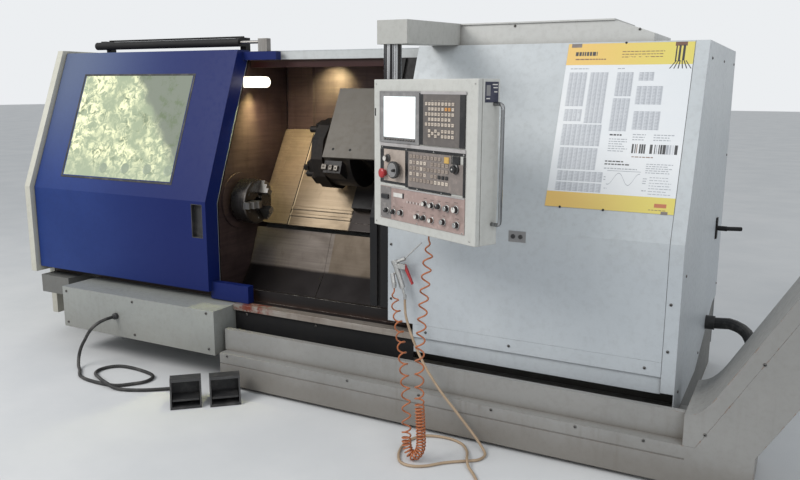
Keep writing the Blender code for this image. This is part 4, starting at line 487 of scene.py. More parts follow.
def screw(bm, place, normal, r, index=0, dark=1):
    """A low domed head of radius r mm with a hex socket painted near black as shade, standing on a face."""
    spot = turn_between(place, place + normal)
    lathe(bm, [(0.0, r), (0.15 * r, r), (0.5 * r, 0.86 * r), (0.62 * r, 0.55 * r)], spot, 14, index)
    lathe(bm, [(0.62 * r, 0.55 * r), (0.3 * r, 0.42 * r), (0.3 * r, 0.0)], spot, 6, dark)


def route(points, count):
    """A smooth path through the points, resampled evenly."""
    ends = [points[0], *points, points[-1]]
    dense = []
    for a, b, c, d in zip(ends, ends[1:], ends[2:], ends[3:]):
        for step in range(24):
            s = step / 24
            dense.append(0.5 * ((2 * b) + (c - a) * s + (2 * a - 5 * b + 4 * c - d) * s * s
                                + (3 * b - a - 3 * c + d) * s ** 3))
    dense.append(points[-1])
    lengths = [0.0]
    for a, b in zip(dense, dense[1:]):
        lengths.append(lengths[-1] + (b - a).length)
    path = []
    place = 0
    for k in range(count):
        want = lengths[-1] * k / (count - 1)
        while place < len(dense) - 2 and lengths[place + 1] < want:
            place += 1
        step = lengths[place + 1] - lengths[place]
        share = (want - lengths[place]) / step if step > 0 else 0.0
        path.append(dense[place].lerp(dense[place + 1], min(max(share, 0.0), 1.0)))
    return path


def length_of(path):
    return sum((b - a).length for a, b in zip(path, path[1:]))


def with_sides(path):
    """Each point of a path with two directions across it that don't twist along it."""
    normal = None
    for k, point in enumerate(path):
        ahead = (path[min(k + 1, len(path) - 1)] - path[max(k - 1, 0)]).normalized()
        if normal is None:
            normal = ahead.cross(Vector((1, 0, 0)))
        normal = (normal - ahead * normal.dot(ahead)).normalized()
        yield point, normal, ahead.cross(normal)


def tube_mesh(bm, path, radius, sides):
    """A round tube along a path with closed ends."""
    turns = [2 * math.pi * i / sides for i in range(sides)]
    rings = [[bm.verts.new(point + (normal * math.cos(turn) + side * math.sin(turn)) * radius) for turn in turns]
             for point, normal, side in with_sides(path)]
    for low, high in zip(rings, rings[1:]):
        for i in range(sides):
            j = (i + 1) % sides
            bm.faces.new((low[i], low[j], high[j], high[i])).smooth = True
    bm.faces.new(list(reversed(rings[0])))
    bm.faces.new(rings[-1])


# Camera, light and floor

def photo_camera():
    """The photograph's camera, solved from the machine's own long edges."""
    yaw, pitch, roll = math.radians(27.5175), math.radians(10.9859), math.radians(-0.23847)
    ahead = Vector((-math.sin(yaw) * math.cos(pitch), math.cos(yaw) * math.cos(pitch), -math.sin(pitch)))
    right = Vector((math.cos(yaw), math.sin(yaw), 0))
    down = ahead.cross(right)
    turned_right = math.cos(roll) * right + math.sin(roll) * down
    turned_down = -math.sin(roll) * right + math.cos(roll) * down
    lens = bpy.data.cameras.new("photo_camera")
    lens.lens = 35.2151
    lens.sensor_width = 36.0
    lens.clip_end = 300.0
    made = put("photo_camera", lens)
    turn = Matrix((turned_right, -turned_down, -ahead)).transposed().to_4x4()
    made.matrix_world = Matrix.Translation(at(4.25, -3.2, 1.55)) @ turn
    bpy.context.scene.camera = made


# Name, place, target, size, power, colour, and the spread in degrees of the lamps inside the machine
WARM = (1.0, 0.82, 0.54)
LAMPS = (("key", (-0.5, -4.0, 4.6), (1.9, 0.0, 0.9), (3.2, 2.4), 210, (1.0, 0.985, 0.96), None),
         ("fill", (6.6, -3.6, 3.4), (3.0, 0.0, 0.9), (2.6, 2.2), 60, (0.93, 0.96, 1.0), None),
         ("inside", (1.48, 0.38, 1.5), (1.55, 0.66, 1.1), (0.12, 0.05), 2.6, WARM, 130),
         ("inside_right", (2.35, 0.55, 1.66), (2.05, 0.85, 1.2), (0.16, 0.06), 0.3, WARM, 180),
         ("wall_pool", (1.462, 0.44, 1.56), (1.398, 0.36, 1.3), (0.07, 0.04), 2.2, (0.98, 0.97, 0.43), 70),
         ("rear_pool", (1.745, 0.7, 1.65), (1.735, 0.812, 1.55), (0.05, 0.05), 2.2, (0.96, 1.0, 0.54), 110))


def lamps():
    for name, place, target, size, power, colour, spread in LAMPS:
        light = bpy.data.lights.new(name, "AREA")
        light.shape = "RECTANGLE"
        light.size, light.size_y = size
        light.energy = power
        light.color = colour
        made = put(name, light)
        made.matrix_world = turn_between(at(*place), at(*target)) @ Matrix.Rotation(math.pi, 4, "X")
        if spread:
            made.visible_camera = False
            made.visible_glossy = False
            light.spread = math.radians(spread)


def stage():
    half = 60
    bm = bmesh.new()
    for x, y in ((-half, -half), (half, -half), (half, half), (-half, half)):
        bm.verts.new((x, y, -0.0004))
    bm.faces.new(bm.verts)
    data = bpy.data.meshes.new("floor")
    bm.to_mesh(data)
    bm.free()
    n = Nodes("floor_look")
    tone = n.mix(n.spread(n.noise(1.3, 5, 0.6), 0.3, 0.7), (0.6, 0.61, 0.62), (0.66, 0.665, 0.67))
    data.materials.append(n.finish(tone, 0.75, 0.0))
    put("floor", data)
    world = bpy.data.worlds.new("studio")
    world.use_nodes = True
    tree = world.node_tree
    tree.nodes.clear()
    ray = new_node(tree, "ShaderNodeLightPath").outputs
    seen = ray["Is Camera Ray"]
    for other in ("Is Glossy Ray", "Is Transmission Ray"):
        seen = new_node(tree, "ShaderNodeMath", {0: seen, 1: ray[other]}, operation="MAXIMUM").outputs[0]
    soft, pale = (new_node(tree, "ShaderNodeBackground", {"Color": colour, "Strength": strength}).outputs[0]
                  for colour, strength in (((0.93, 0.97, 1.0, 1.0), 0.62), ((0.84, 0.86, 0.88, 1.0), 1.0)))
    blend = new_node(tree, "ShaderNodeMixShader", {0: seen, 1: soft, 2: pale})
    new_node(tree, "ShaderNodeOutputWorld", {"Surface": blend.outputs[0]})
    bpy.context.scene.world = world
    bpy.context.scene.view_settings.view_transform = "Standard"


photo_camera()
stage()
lamps()


# Cords: the same route points as in the part's source

CABLE_LIE = 0.0092
PEDAL_CABLE = [(0.86, -0.1906, 0.279), (0.86, -0.206, 0.279), (0.86, -0.221, 0.279), (0.86, -0.236, 0.279),
               (0.8524, -0.2772, 0.27), (0.8319, -0.306, 0.2456), (0.8047, -0.3136, 0.2134),
               (0.7696, -0.3081, 0.1716), (0.7345, -0.3026, 0.1299), (0.7153, -0.3047, 0.0916),
               (0.7164, -0.3186, 0.0511), (0.7374, -0.3401, 0.0205), (0.7721, -0.3627, CABLE_LIE),
               (0.86, -0.43, CABLE_LIE), (0.98, -0.452, CABLE_LIE), (1.12, -0.44, CABLE_LIE),
               (1.192, -0.376, CABLE_LIE), (1.226, -0.318, CABLE_LIE), (1.212, -0.256, CABLE_LIE),
               (1.15, -0.222, CABLE_LIE), (1.02, -0.205, CABLE_LIE), (0.929, -0.215, CABLE_LIE),
               (0.882, -0.255, CABLE_LIE), (0.869, -0.308, CABLE_LIE), (0.888, -0.354, 0.0105),
               (0.935, -0.393, 0.0185), (0.99, -0.427, 0.0284), (1.045, -0.4525, 0.0298), (1.1, -0.468, 0.0262),
               (1.155, -0.471, 0.0145), (1.22, -0.456, CABLE_LIE), (1.31, -0.412, CABLE_LIE),
               (1.4109, -0.3365, CABLE_LIE), (1.4379, -0.3184, CABLE_LIE), (1.4698, -0.3125, CABLE_LIE),
               (1.5014, -0.3198, CABLE_LIE), (1.5276, -0.339, CABLE_LIE), (1.5409, -0.3539, CABLE_LIE),
               (1.5543, -0.3688, CABLE_LIE)]
CURLY_HOSE = [(2.904, -0.362, 0.969), (2.904, -0.362, 0.935), (2.904, -0.362, 0.9), (2.916, -0.425, 0.72),
              (2.914, -0.455, 0.5), (2.911, -0.45, 0.3), (2.917, -0.447, 0.15), (2.916, -0.446, 0.065),
              (2.884, -0.445, 0.0235), (2.852, -0.443, 0.06), (2.844, -0.435, 0.15), (2.815, -0.385, 0.26),
              (2.745, -0.28, 0.38), (2.665, -0.165, 0.48), (2.612, -0.095, 0.55), (2.592, -0.073, 0.59),
              (2.59, -0.07, 0.605), (2.59, -0.07, 0.6355)]
HOSE_LIE = 0.0066
WASH_HOSE = [(2.636, -0.049, 0.5812), (2.636, -0.049, 0.555), (2.655, -0.072, 0.5), (2.72, -0.13, 0.42),
             (2.8, -0.178, 0.33), (2.89, -0.203, 0.235), (2.98, -0.209, 0.145), (3.05, -0.208, 0.07),
             (3.1, -0.218, 0.02), (3.135, -0.262, HOSE_LIE), (3.125, -0.32, HOSE_LIE), (3.07, -0.362, HOSE_LIE),
             (3.01, -0.41, HOSE_LIE), (2.955, -0.47, HOSE_LIE), (2.9, -0.5, HOSE_LIE), (2.845, -0.49, HOSE_LIE),
             (2.805, -0.43, HOSE_LIE), (2.782, -0.35, HOSE_LIE), (2.785, -0.28, HOSE_LIE), (2.82, -0.218, HOSE_LIE),
             (2.88, -0.193, HOSE_LIE), (2.95, -0.19, HOSE_LIE), (3.01, -0.215, HOSE_LIE), (3.05, -0.262, HOSE_LIE),
             (3.073, -0.312, 0.014), (3.092, -0.36, 0.0205), (3.118, -0.405, 0.012), (3.16, -0.45, HOSE_LIE),
             (3.195, -0.505, HOSE_LIE), (3.205, -0.575, HOSE_LIE)]


def curve_cord(name, path, radius, look):
    """A round cord along a path."""
    curve = bpy.data.curves.new(name, "CURVE")
    curve.dimensions = "3D"
    curve.bevel_depth = radius
    curve.bevel_resolution = 4
    curve.use_fill_caps = True
    spline = curve.splines.new("POLY")
    spline.points.add(len(path) - 1)
    for target, point in zip(spline.points, path):
        target.co = (point.x, point.y, max(point.z, radius * 1.01), 1.0)
    curve.materials.append(look)
    return put(name, curve)


def helix(path, share_of):
    """The coiled tube's own line; share_of gives the pitch and coil radius at a share of the path."""
    fine = route(path, 2200)
    line = []
    step = length_of(fine) / (len(fine) - 1)
    angle = gone = 0.0
    for k, (point, normal, side) in enumerate(with_sides(fine)):
        pitch, radius = share_of(k / (len(fine) - 1))
        angle += 2 * math.pi * step / pitch
        gone += 2 * math.pi * step / pitch
        spot = point + (normal * math.cos(angle) + side * math.sin(angle)) * radius
        if not line or gone >= 2 * math.pi / 16 or (spot - line[-1]).length > 0.006 or k == len(fine) - 1:
            line.append(spot)
            gone = 0.0
    return line


def smooth_step(value, low, high):
    s = min(max((value - low) / (high - low), 0.0), 1.0)
    return s * s * (3 - 2 * s)


def cords():
    cable = route([at(*p) for p in PEDAL_CABLE], 220)
    made = curve_cord("pedal_cable_looks", cable, 0.009, black_rubber)
    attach(made, "cabinet")
    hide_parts("pedal_cable")

    wash = route([at(*p) for p in WASH_HOSE], 260)
    made = curve_cord("wash_hose_looks", wash, 0.006, tan_rubber)
    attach(made, "cabinet")
    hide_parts("wash_hose")
    bm = bmesh.new()
    tail = turn_between(wash[-1], wash[-1] + (wash[-1] - wash[-2]))
    lathe(bm, [(0.3, 0.0), (0.3, 6.4), (6.0, 6.6), (6.0, 8.5), (14.0, 8.5), (14.0, 7.0), (20.0, 7.0), (20.0, 8.2),
               (34.0, 8.2), (36.0, 6.0), (36.0, 0.0)], Matrix.Translation((0, 0, 0.0022)) @ tail, 16)
    fitting = add("wash_hose_fitting", bm, [brass])

    tube = 0.0036
    coil = 0.022 - tube - 0.0006

    def shape(share):
        ends = smooth_step(share, 0.01, 0.05) * (1 - smooth_step(share, 0.965, 0.998))
        heap = smooth_step(share, 0.36, 0.42) * (1 - smooth_step(share, 0.58, 0.64))
        return 0.058 - 0.044 * heap, max(coil * ends, 0.0)

    line = helix([at(*p) for p in CURLY_HOSE], shape)
    bm = bmesh.new()
    tube_mesh(bm, line, tube, 8)
    data = bpy.data.meshes.new("curly_hose_looks")
    bm.to_mesh(data)
    bm.free()
    data.materials.append(orange_coil)
    made = put("curly_hose_looks", data)
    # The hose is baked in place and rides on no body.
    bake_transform(made)
    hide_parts("curly_hose")


cords()


# Control pendant, in mm in its own axes

PEND = Matrix.Translation(at(2.662, -0.225, 0.0)) @ Matrix.Rotation(math.radians(-25.3), 4, "Z")
PEND_LEFT, PEND_FRONT, PEND_TOP = -38, -69, 1585
PEND_WIDTH, PEND_DEPTH, PEND_HEIGHT = 645, 108, 615


def face_block(bm, u0, v0, u1, v1, low, high, index, bevel=0.8):
    """A block on the pendant's face: u from the left, v down from the top, low to high out of the face."""
    block(bm, (PEND_LEFT + u0, PEND_FRONT - high, PEND_TOP - v1), (PEND_LEFT + u1, PEND_FRONT - low, PEND_TOP - v0),
          PEND, index, bevel)


def face_axis(u, v, out):
    """A matrix on the pendant's face whose Z axis points out of it."""
    turn = Matrix.Translation(mm(PEND_LEFT + u, PEND_FRONT - out, PEND_TOP - v))
    return PEND @ turn @ Matrix.Rotation(math.pi / 2, 4, "X")


def keypad_paint(name, colour, rubbed, amount, rough=0.5):
    """Printed foil over the key field, rubbed pale where fingers reach, with painted shade in its corners."""
    n = Nodes(name)
    worn = n.spread(n.noise(34, 5, 0.7), 0.5, 0.68)
    tone = n.mix(n.times(worn, amount), colour, rubbed)
    oily = n.spread(n.noise(9, 4, 0.6), 0.5, 0.75)
    tone = n.mix(n.times(oily, 0.35), tone, (0.06, 0.045, 0.035))
    # Painted shade: corners and gaps between keys darkened by the occlusion mask.
    tone = n.mix(n.times(n.corner(0.006), 0.6), tone, (0.02, 0.018, 0.016))
    return n.finish(tone, n.plus(n.times(oily, -0.15), rough), 0.0,
                    n.bump(n.noise(700, 2), 0.08, 0.0003, n.soft_edge(0.0008)))


PENDANT_LOOKS = [
    pendant_paint,
    keypad_paint("bezel_grey", (0.23, 0.225, 0.225), (0.36, 0.34, 0.33), 0.3, 0.38),
    keypad_paint("key_field", (0.122, 0.108, 0.1), (0.22, 0.19, 0.17), 0.35),
    moulded("key_pale", (0.58, 0.5, 0.42), 0.45, (0.3, 0.22, 0.17), 0.35, 0.0006),
    moulded("key_tan", (0.33, 0.27, 0.225), 0.45, (0.16, 0.12, 0.1), 0.45, 0.0006),
    moulded("key_orange", (0.62, 0.3, 0.09), 0.45, (0.3, 0.15, 0.07), 0.3, 0.0006),
    moulded("key_yellow", (0.6, 0.38, 0.1), 0.45, (0.32, 0.2, 0.08), 0.3, 0.0006),
    keypad_paint("key_field_mid", (0.205, 0.175, 0.16), (0.33, 0.27, 0.24), 0.55),
    keypad_paint("worn_panel", (0.36, 0.26, 0.235), (0.52, 0.4, 0.36), 0.6, 0.42),
    keypad_paint("bare_patch", (0.19, 0.175, 0.168), (0.36, 0.325, 0.31), 0.5, 0.4),
    keypad_paint("side_strip", (0.42, 0.35, 0.3), (0.55, 0.47, 0.42), 0.5),
    keypad_paint("strip_grey", (0.4, 0.38, 0.375), (0.5, 0.47, 0.45), 0.4, 0.36),
    moulded("gloss_black", (0.016, 0.016, 0.017), 0.22, (0.1, 0.09, 0.085)),
    moulded("cap_white", (0.68, 0.66, 0.62), 0.3, (0.35, 0.31, 0.28), 0.4, 0.0008),
    moulded("knob_brown", (0.1, 0.055, 0.04), 0.4, (0.2, 0.13, 0.1), 0.4, 0.0008),
    zinc,
    recess_shade,
    moulded("ink", (0.045, 0.042, 0.04), 0.6, (0.12, 0.11, 0.1), 0.5)]
(CASE, BEZEL, FIELD, PALE, TAN, ORANGE, YELLOW, FIELD_MID, WORN, BARE, CREAM, STRIP, GLOSS, CAP, BROWN, ZINC, DARK,
 INK) = range(18)

# Plates and fixed blocks: left, top, right, bottom, low, high, look and bevel
UPPER_PLATES = ((50, 47, 320, 53.5, -0.5, 4.6, BEZEL), (50, 249.5, 311, 257, -0.5, 4.6, BEZEL),
                (45.5, 47, 50, 257, -0.5, 4.6, BEZEL), (320, 47, 586, 58, -0.5, 5, STRIP, 1.2),
                (311, 53, 336, 254, -0.5, 2.4, GLOSS), (336, 58, 552, 254, -0.5, 4, FIELD),
                (552, 58, 582, 254, -0.5, 4.8, GLOSS, 1.5))
MIDDLE_PLATES = ((50, 258.5, 586, 272.5, -0.5, 4.4, STRIP, 1.2), (50, 273.5, 586, 283.5, -0.5, 1.6, GLOSS, 0),
                 (49, 285, 76, 426, -0.5, 3, GLOSS), (76, 285, 221.5, 416.5, -0.5, 4, CREAM),
                 (76, 416.5, 221.5, 427, -0.5, 3, GLOSS), (221.5, 285, 242, 432, -0.5, 3.4, GLOSS),
                 (242, 285, 506, 427, -0.5, 4, FIELD_MID), (506, 316, 576, 429, -0.5, 4, FIELD_MID),
                 (576, 285, 586, 436, -0.5, 4.6, GLOSS), (242, 427, 506, 436, -0.5, 3, GLOSS),
                 (469, 292, 496, 316, 3.5, 7.2, YELLOW, 1.6), (515, 285, 555, 316, -0.5, 6, GLOSS, 2))
LOWER_PLATES = ((50, 440, 586, 578, -0.5, 3, WORN), (51, 442, 127, 576, 2.9, 3.4, BARE, 0),
                (127, 439, 584, 444, 2, 4.4, STRIP), (143, 462, 206, 480, 2.9, 4.6, CAP, 1),
                (206, 460, 214, 482, 2.9, 5.6, GLOSS, 1), (64, 474, 112, 493, 2.9, 11, GLOSS, 3),
                (7.5, 118, 13.5, 150, 0, 2, GLOSS, 1.2))
# Selector knobs: place, the looks of cap and body, and size
KNOBS = ((354, 485, CAP, GLOSS, 1), (396, 487, CAP, GLOSS, 1), (438, 486, GLOSS, GLOSS, 1),
         (486, 488, ZINC, GLOSS, 1.1), (539, 486, CAP, GLOSS, 1.25), (98, 542, GLOSS, GLOSS, 1),
         (146, 543, GLOSS, GLOSS, 1), (198, 541, ZINC, GLOSS, 1.1), (306, 543, CAP, GLOSS, 1),
         (347, 543, GLOSS, GLOSS, 1), (396, 546, CAP, BROWN, 1), (467, 543, ZINC, GLOSS, 1.1),
         (545, 545, ZINC, GLOSS, 1.15))
FACE_SCREWS = ((630, 18, 0), (18, 18, 0), (614, 598, 0), (18, 598, 0), (60, 278.5, 1.6), (225, 278.5, 1.6),
               (400, 278.5, 1.6), (575, 278.5, 1.6), (55, 573.5, 3), (300, 573.5, 3), (575, 573.5, 3),
               (300, 434.5, 3), (450, 434.5, 3))


def pendant_shell(bm):
    """Front door with the screen's seat in it, a shadow gap whose back is painted near black as shade, and the box
    behind.
    """
    left, right, low, top = PEND_LEFT, PEND_LEFT + PEND_WIDTH, PEND_TOP - PEND_HEIGHT, PEND_TOP
    front, back = PEND_FRONT, PEND_FRONT + 20
    outer = ((left, low), (right, low), (right, top), (left, top))
    inner = ((left + 46, top - 253), (left + 310, top - 253), (left + 310, top - 50), (left + 46, top - 50))
    rings = [[bm.verts.new(PEND @ mm(x, y, z)) for x, z in points]
             for points, y in ((outer, back), (outer, front), (inner, front), (inner, front + 19.5))]
    for a, b in zip(rings, rings[1:]):
        for i in range(4):
            j = (i + 1) % 4
            bm.faces.new((a[i], a[j], b[j], b[i]))
    bm.faces.new(rings[3])
    bm.faces.new(rings[0])
    rim = [edge for edge in bm.edges
           if set(edge.verts) <= set(rings[1]) or all(set(edge.verts) & set(ring) for ring in rings[:2])]
    bmesh.ops.recalc_face_normals(bm, faces=bm.faces)
    bmesh.ops.bevel(bm, geom=rim, offset=0.004, segments=3, affect="EDGES", profile=0.6)
    # Painted shade: a near-black sheet at the back of the gap between door and box.
    block(bm, (left + 4, back, low + 4), (right - 4, back + 2.5, top - 4), PEND, DARK)
    block(bm, (left, back + 2.5, low), (right, front + PEND_DEPTH, top), PEND, CASE, 4)


def key(bm, u, v, width, height, look):
    """A key cap with a printed mark."""
    face_block(bm, u - width / 2, v - height / 2, u + width / 2, v + height / 2, 3.5, 6.8, look, 1.4)
    wide = random.choice((0.3, 0.45, 0.6)) * width / 2
    face_block(bm, u - wide, v - 1.8, u + wide, v - 0.4, 6.8, 7, INK, 0)
    if random.random() < 0.5:
        face_block(bm, u - wide * 0.6, v + 1, u + wide * 0.6, v + 2.2, 6.8, 7, INK, 0)


def upper_unit(bm):
    """Soft keys under the screen and the large key field."""
    for k in range(12):
        u = 76 + k * 17.8
        face_block(bm, u, 238.2, u + 13.5, 246.2, 3.6, 5.2, GLOSS, 1)
        face_block(bm, u + 3, 240.5, u + 10.5, 241.8, 5.2, 5.4, PALE, 0)
    for r, v in enumerate((94, 113.5, 133, 152.5, 172, 197, 216)):
        for c, u in enumerate((357, 376.5, 395.5, 414.5, 433.5, 455, 474.5, 494, 514)):
            if r in (1, 3) and c == 0 or r == 3 and c == 8:
                continue
            cursor = r >= 5 and c < 5
            if cursor and (c == 0 or r == 6 and c in (2, 4)):
                continue
            shift = 9.5 if cursor and c in (2, 4) else 0
            key(bm, u, v + shift, 13, 12.5, ORANGE if r == 1 and c in (6, 7) else PALE)
    for k in range(6):
        face_block(bm, 384 + k * 21, 80.5, 396 + k * 21, 81.8, 4, 4.2, TAN, 0)


def middle_unit(bm):
    """The middle key field and the feed switch."""
    bright = {(2, 1), (4, 1), (2, 3), (4, 3), (0, 1), (0, 3), (3, 2), (3, 1)}
    for r in range(5):
        for c in range(11):
            if c >= 9 and r == 0 or c == 5 and r in (1, 3):
                continue
            look = PALE if (c, r) in bright or r == 4 and c > 6 else TAN
            if r == 3 and c > 7:
                look = GLOSS
            key(bm, 262 + c * 22.2, 303 + r * 23.2, 15, 14, look)
    lathe(bm, [(0, 0), (0, 19), (6, 19), (8, 15), (20, 13), (21, 0)], face_axis(535, 333, 4), 22, GLOSS)
    lathe(bm, [(0, 3.5), (0.8, 3.5), (0.9, 0)], face_axis(535, 333, 25), 12, CAP)


def lower_unit(bm):
    """Small marks and the rows of selector switches on the worn panel."""
    for k in range(9):
        u = 233 + k * 10.5
        face_block(bm, u, 488, u + 4.5, 496, 2.9, 3.3, INK if k % 2 else CAP, 0)
    for u, v, cap, body, size in KNOBS:
        spot = face_axis(u, v, 3)
        lathe(bm, [(0, 0), (0, 12.8 * size), (2.2, 12.8 * size), (3, 10.8 * size)], spot, 20, ZINC)
        lathe(bm, [(2.2, 10.4 * size), (15, 9.8 * size), (16.5, 8.8 * size)], spot, 20, body)
        lathe(bm, [(16.5, 8.8 * size), (17.2, 7.4 * size), (17.4, 0)], spot, 20, cap)
        face_block(bm, u - 1.2, v - 8.5 * size, u + 1.2, v - 1.5, 20, 20.6, INK if cap != GLOSS else CAP, 0)
        face_block(bm, u - 10, v - 21.5 * size, u + 10, v - 20 * size, 3, 3.2, INK, 0)


def pendant():
    bm = bmesh.new()
    pendant_shell(bm)
    for plate in UPPER_PLATES + MIDDLE_PLATES + LOWER_PLATES:
        face_block(bm, *plate)
    upper_unit(bm)
    middle_unit(bm)
    lower_unit(bm)
    outward = -(PEND.to_3x3() @ Vector((0, 1, 0)))
    for u, v, out in FACE_SCREWS:
        screw(bm, face_axis(u, v, out).translation, outward, 3.5, ZINC, DARK)
    for z in (1050, 1500):
        hinge = PEND @ Matrix.Translation(mm(PEND_LEFT + 1.4, PEND_FRONT + 21.2, z))
        lathe(bm, [(-28, 0), (-28, 4.5), (28, 4.5), (28, 0)], hinge, 12, CASE)
    made = add("pendant_case_looks", bm, PENDANT_LOOKS, "pendant")
    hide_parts("pendant_case")

    bm = bmesh.new()
    right = PEND_LEFT + PEND_WIDTH
    block(bm, (right + 0.1, -36, 1500), (right + 0.7, 30, 1574), PEND)
    for low, high, z in ((0, 26, 1562), (4, 26, 1551), (8, 24, 1536), (-30, -12, 1512)):
        block(bm, (right + 0.6, low, z), (right + 0.85, high, z + 4), PEND, 1)
    block(bm, (right + 0.6, -30, 1524), (right + 0.85, -10, 1562), PEND, 2)
    navy = moulded("label_navy", (0.018, 0.02, 0.045), 0.35, (0.09, 0.09, 0.13), 0.5)
    add("pendant_label", bm, [navy, PENDANT_LOOKS[CAP], PENDANT_LOOKS[BEZEL]], "pendant")


def screen_material():
    """Grey surround with a dull edge and the bright display inside it."""
    n = Nodes("screen")
    turned = n.make("ShaderNodeMapping", {"Vector": n.place, "Location": tuple(PEND.inverted().translation),
                                          "Rotation": (0, 0, math.radians(25.3))}).outputs[0]
    u, _, v = n.axes(turned)
    left, right, low, top = mm(PEND_LEFT + 72.2, PEND_LEFT + 285.8, PEND_TOP - 233.5, PEND_TOP - 68.2)
    view = n.times(n.window(u, left, right), n.window(v, low, top))
    display = n.mix(n.spread(n.noise(7, 3), 0.3, 0.8), (0.86, 0.93, 0.93), (0.9, 0.95, 0.96))
    surround = n.mix(n.spread(n.noise(34, 4), 0.4, 0.7), (0.2, 0.195, 0.195), (0.27, 0.26, 0.255))
    glow = n.mix(view, (0.0, 0.0, 0.0), display)
    return n.finish(n.mix(view, surround, display), n.plus(n.times(view, -0.25), 0.42), 0.0,
                    n.bump(n.noise(500, 2), 0.04, 0.0003, n.soft_edge(0.001)),
                    **{"Emission Color": glow, "Emission Strength": 0.72})


def control_looks():
    """Pale cap faces on the pulse wheel and the dial, which turn with them."""
    bm = bmesh.new()
    spot = face_axis(172, 365, 34.3)
    lathe(bm, [(0, 0), (0, 29.5), (0.8, 29), (1, 0)], spot, 40)
    for k in range(50):
        long = 4.2 if k % 10 == 0 else 2.6
        block(bm, (-0.35, 28.5 - long, 1), (0.35, 28.5, 1.3), spot @ Matrix.Rotation(2 * math.pi * k / 50, 4, "Z"), 1)
    lathe(bm, [(0.9, 7.2), (3, 7), (12, 5.8), (15, 5), (16, 0)], spot @ Matrix.Translation((0.0185, 0.0, 0.0)), 18, 2)
    add("pulse_wheel_face", bm, [PENDANT_LOOKS[k] for k in (BEZEL, CAP, GLOSS)], "pulse_wheel")
    bm = bmesh.new()
    spot = face_axis(106, 322, 24.3)
    lathe(bm, [(0, 0), (0, 10.8), (0.7, 10.4), (0.8, 0)], spot, 30)
    block(bm, (-0.9, 1.5, 0.8), (0.9, 10, 1.2), spot, 1)
    add("override_face", bm, [PENDANT_LOOKS[CAP], PENDANT_LOOKS[INK]], "override_dial")
    bm = bmesh.new()
    spot = face_axis(106, 322, 4)
    for k in range(11):
        block(bm, (-0.4, 19, 0), (0.4, 22.5, 0.3), spot @ Matrix.Rotation(math.radians(-125 + 25 * k), 4, "Z"))
    add("override_scale", bm, [PENDANT_LOOKS[INK]], "pendant")


pendant()
dress(screen_material(), "pendant_screen")
control_looks()


# Reference chart: a laminated sheet with tables, bars and a curve

CHART_LOW, CHART_HIGH = 0.119, 0.858
CHART_LEFT, CHART_RIGHT = (end.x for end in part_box("reference_chart"))
SLANT_UP = Vector((0.0, SETBACK, COVER_TOP - FOLD)).normalized()
SLANT_OUT = Vector((0.0, -SLANT_UP.z, SLANT_UP.y))
BAND, TABLE, COLUMN, TEXT, BLACK, RED, BROWN_PRINT = range(1, 8)

# Left, top, right and bottom in thousandths of the sheet, then the look and the lift in mm
PATCHES = ((0, 0, 1000, 134, BAND, 0.15), (0, 908, 1000, 1000, BAND, 0.15), (855, 0, 945, 24, BROWN_PRINT, 0.3),
           (863, 24, 873, 118, BLACK, 0.32), (885, 20, 901, 118, BLACK, 0.32), (916, 18, 934, 112, BLACK, 0.32),
           (462, 768, 720, 771, TEXT, 0.3), (850, 944, 940, 966, RED, 0.3))
# The same four, then the number of lines and, where they differ, the look and the thickness
HEAD_LINES = ((70, 45, 300, 85, 1, BLACK, 0.62), (75, 92, 370, 106, 1, BROWN_PRINT, 0.5),
              (450, 45, 790, 95, 3, BROWN_PRINT, 0.28), (45, 150, 200, 165, 1))
BODY_LINES = ((430, 150, 500, 164, 1), (440, 550, 540, 566, 1, BLACK, 0.55), (440, 576, 590, 660, 6),
              (620, 545, 720, 590, 3), (780, 545, 940, 590, 3), (632, 676, 850, 690, 1, BROWN_PRINT),
              (432, 706, 630, 740, 2, BLACK, 0.42), (432, 748, 720, 765, 1), (440, 800, 458, 830, 2),
              (450, 868, 480, 878, 1), (752, 716, 960, 778, 5), (790, 790, 970, 900, 7, TEXT, 0.22),
              (740, 800, 775, 840, 3), (740, 866, 775, 884, 1), (50, 955, 290, 967, 1, BROWN_PRINT),
              (810, 976, 950, 986, 1, BROWN_PRINT))
# The same four, then columns and rows
TABLES = ((40, 180, 190, 390, 4, 26), (215, 180, 362, 492, 4, 40), (45, 408, 190, 482, 4, 9),
          (48, 500, 368, 630, 8, 16), (52, 642, 362, 772, 8, 16), (60, 782, 430, 842, 8, 7),
          (60, 850, 430, 902, 8, 6), (430, 180, 562, 326, 4, 18), (425, 338, 562, 536, 4, 24),
          (604, 180, 722, 232, 3, 6), (600, 264, 802, 374, 5, 13), (602, 414, 808, 524, 5, 13))
# Bars: middle, width and look
BARS = ((632, 14, BLACK), (652, 7, BLACK), (664, 6, BROWN_PRINT), (688, 12, BLACK), (705, 14, BLACK),
        (722, 12, BLACK), (772, 20, BLACK), (800, 7, BLACK), (814, 6, TEXT), (832, 8, BLACK), (848, 14, BLACK),
        (870, 22, BLACK), (893, 18, TEXT), (914, 14, COLUMN), (934, 12, TABLE), (958, 22, BLACK))


def paper_point(s, t, lift):
    """A point on the sheet: s to the right and t down, both 0 to 1, and a lift in mm."""
    base = at(0, 0, FOLD) + SLANT_UP * (CHART_HIGH - (CHART_HIGH - CHART_LOW) * t)
    wave = 0.45 * math.sin(9.0 * s + 2.0 * t) * math.sin(5.5 * t + 0.6) + 0.3 * math.sin(23.0 * t + 4.0 * s)
    curl = 2.2 * max(0.0, t - 0.93) / 0.07 * (1.0 - s) ** 2
    return (Vector((CHART_LEFT + (CHART_RIGHT - CHART_LEFT) * s, base.y, base.z))
            + SLANT_OUT * ((1.4 + wave + curl + lift) / 1000))


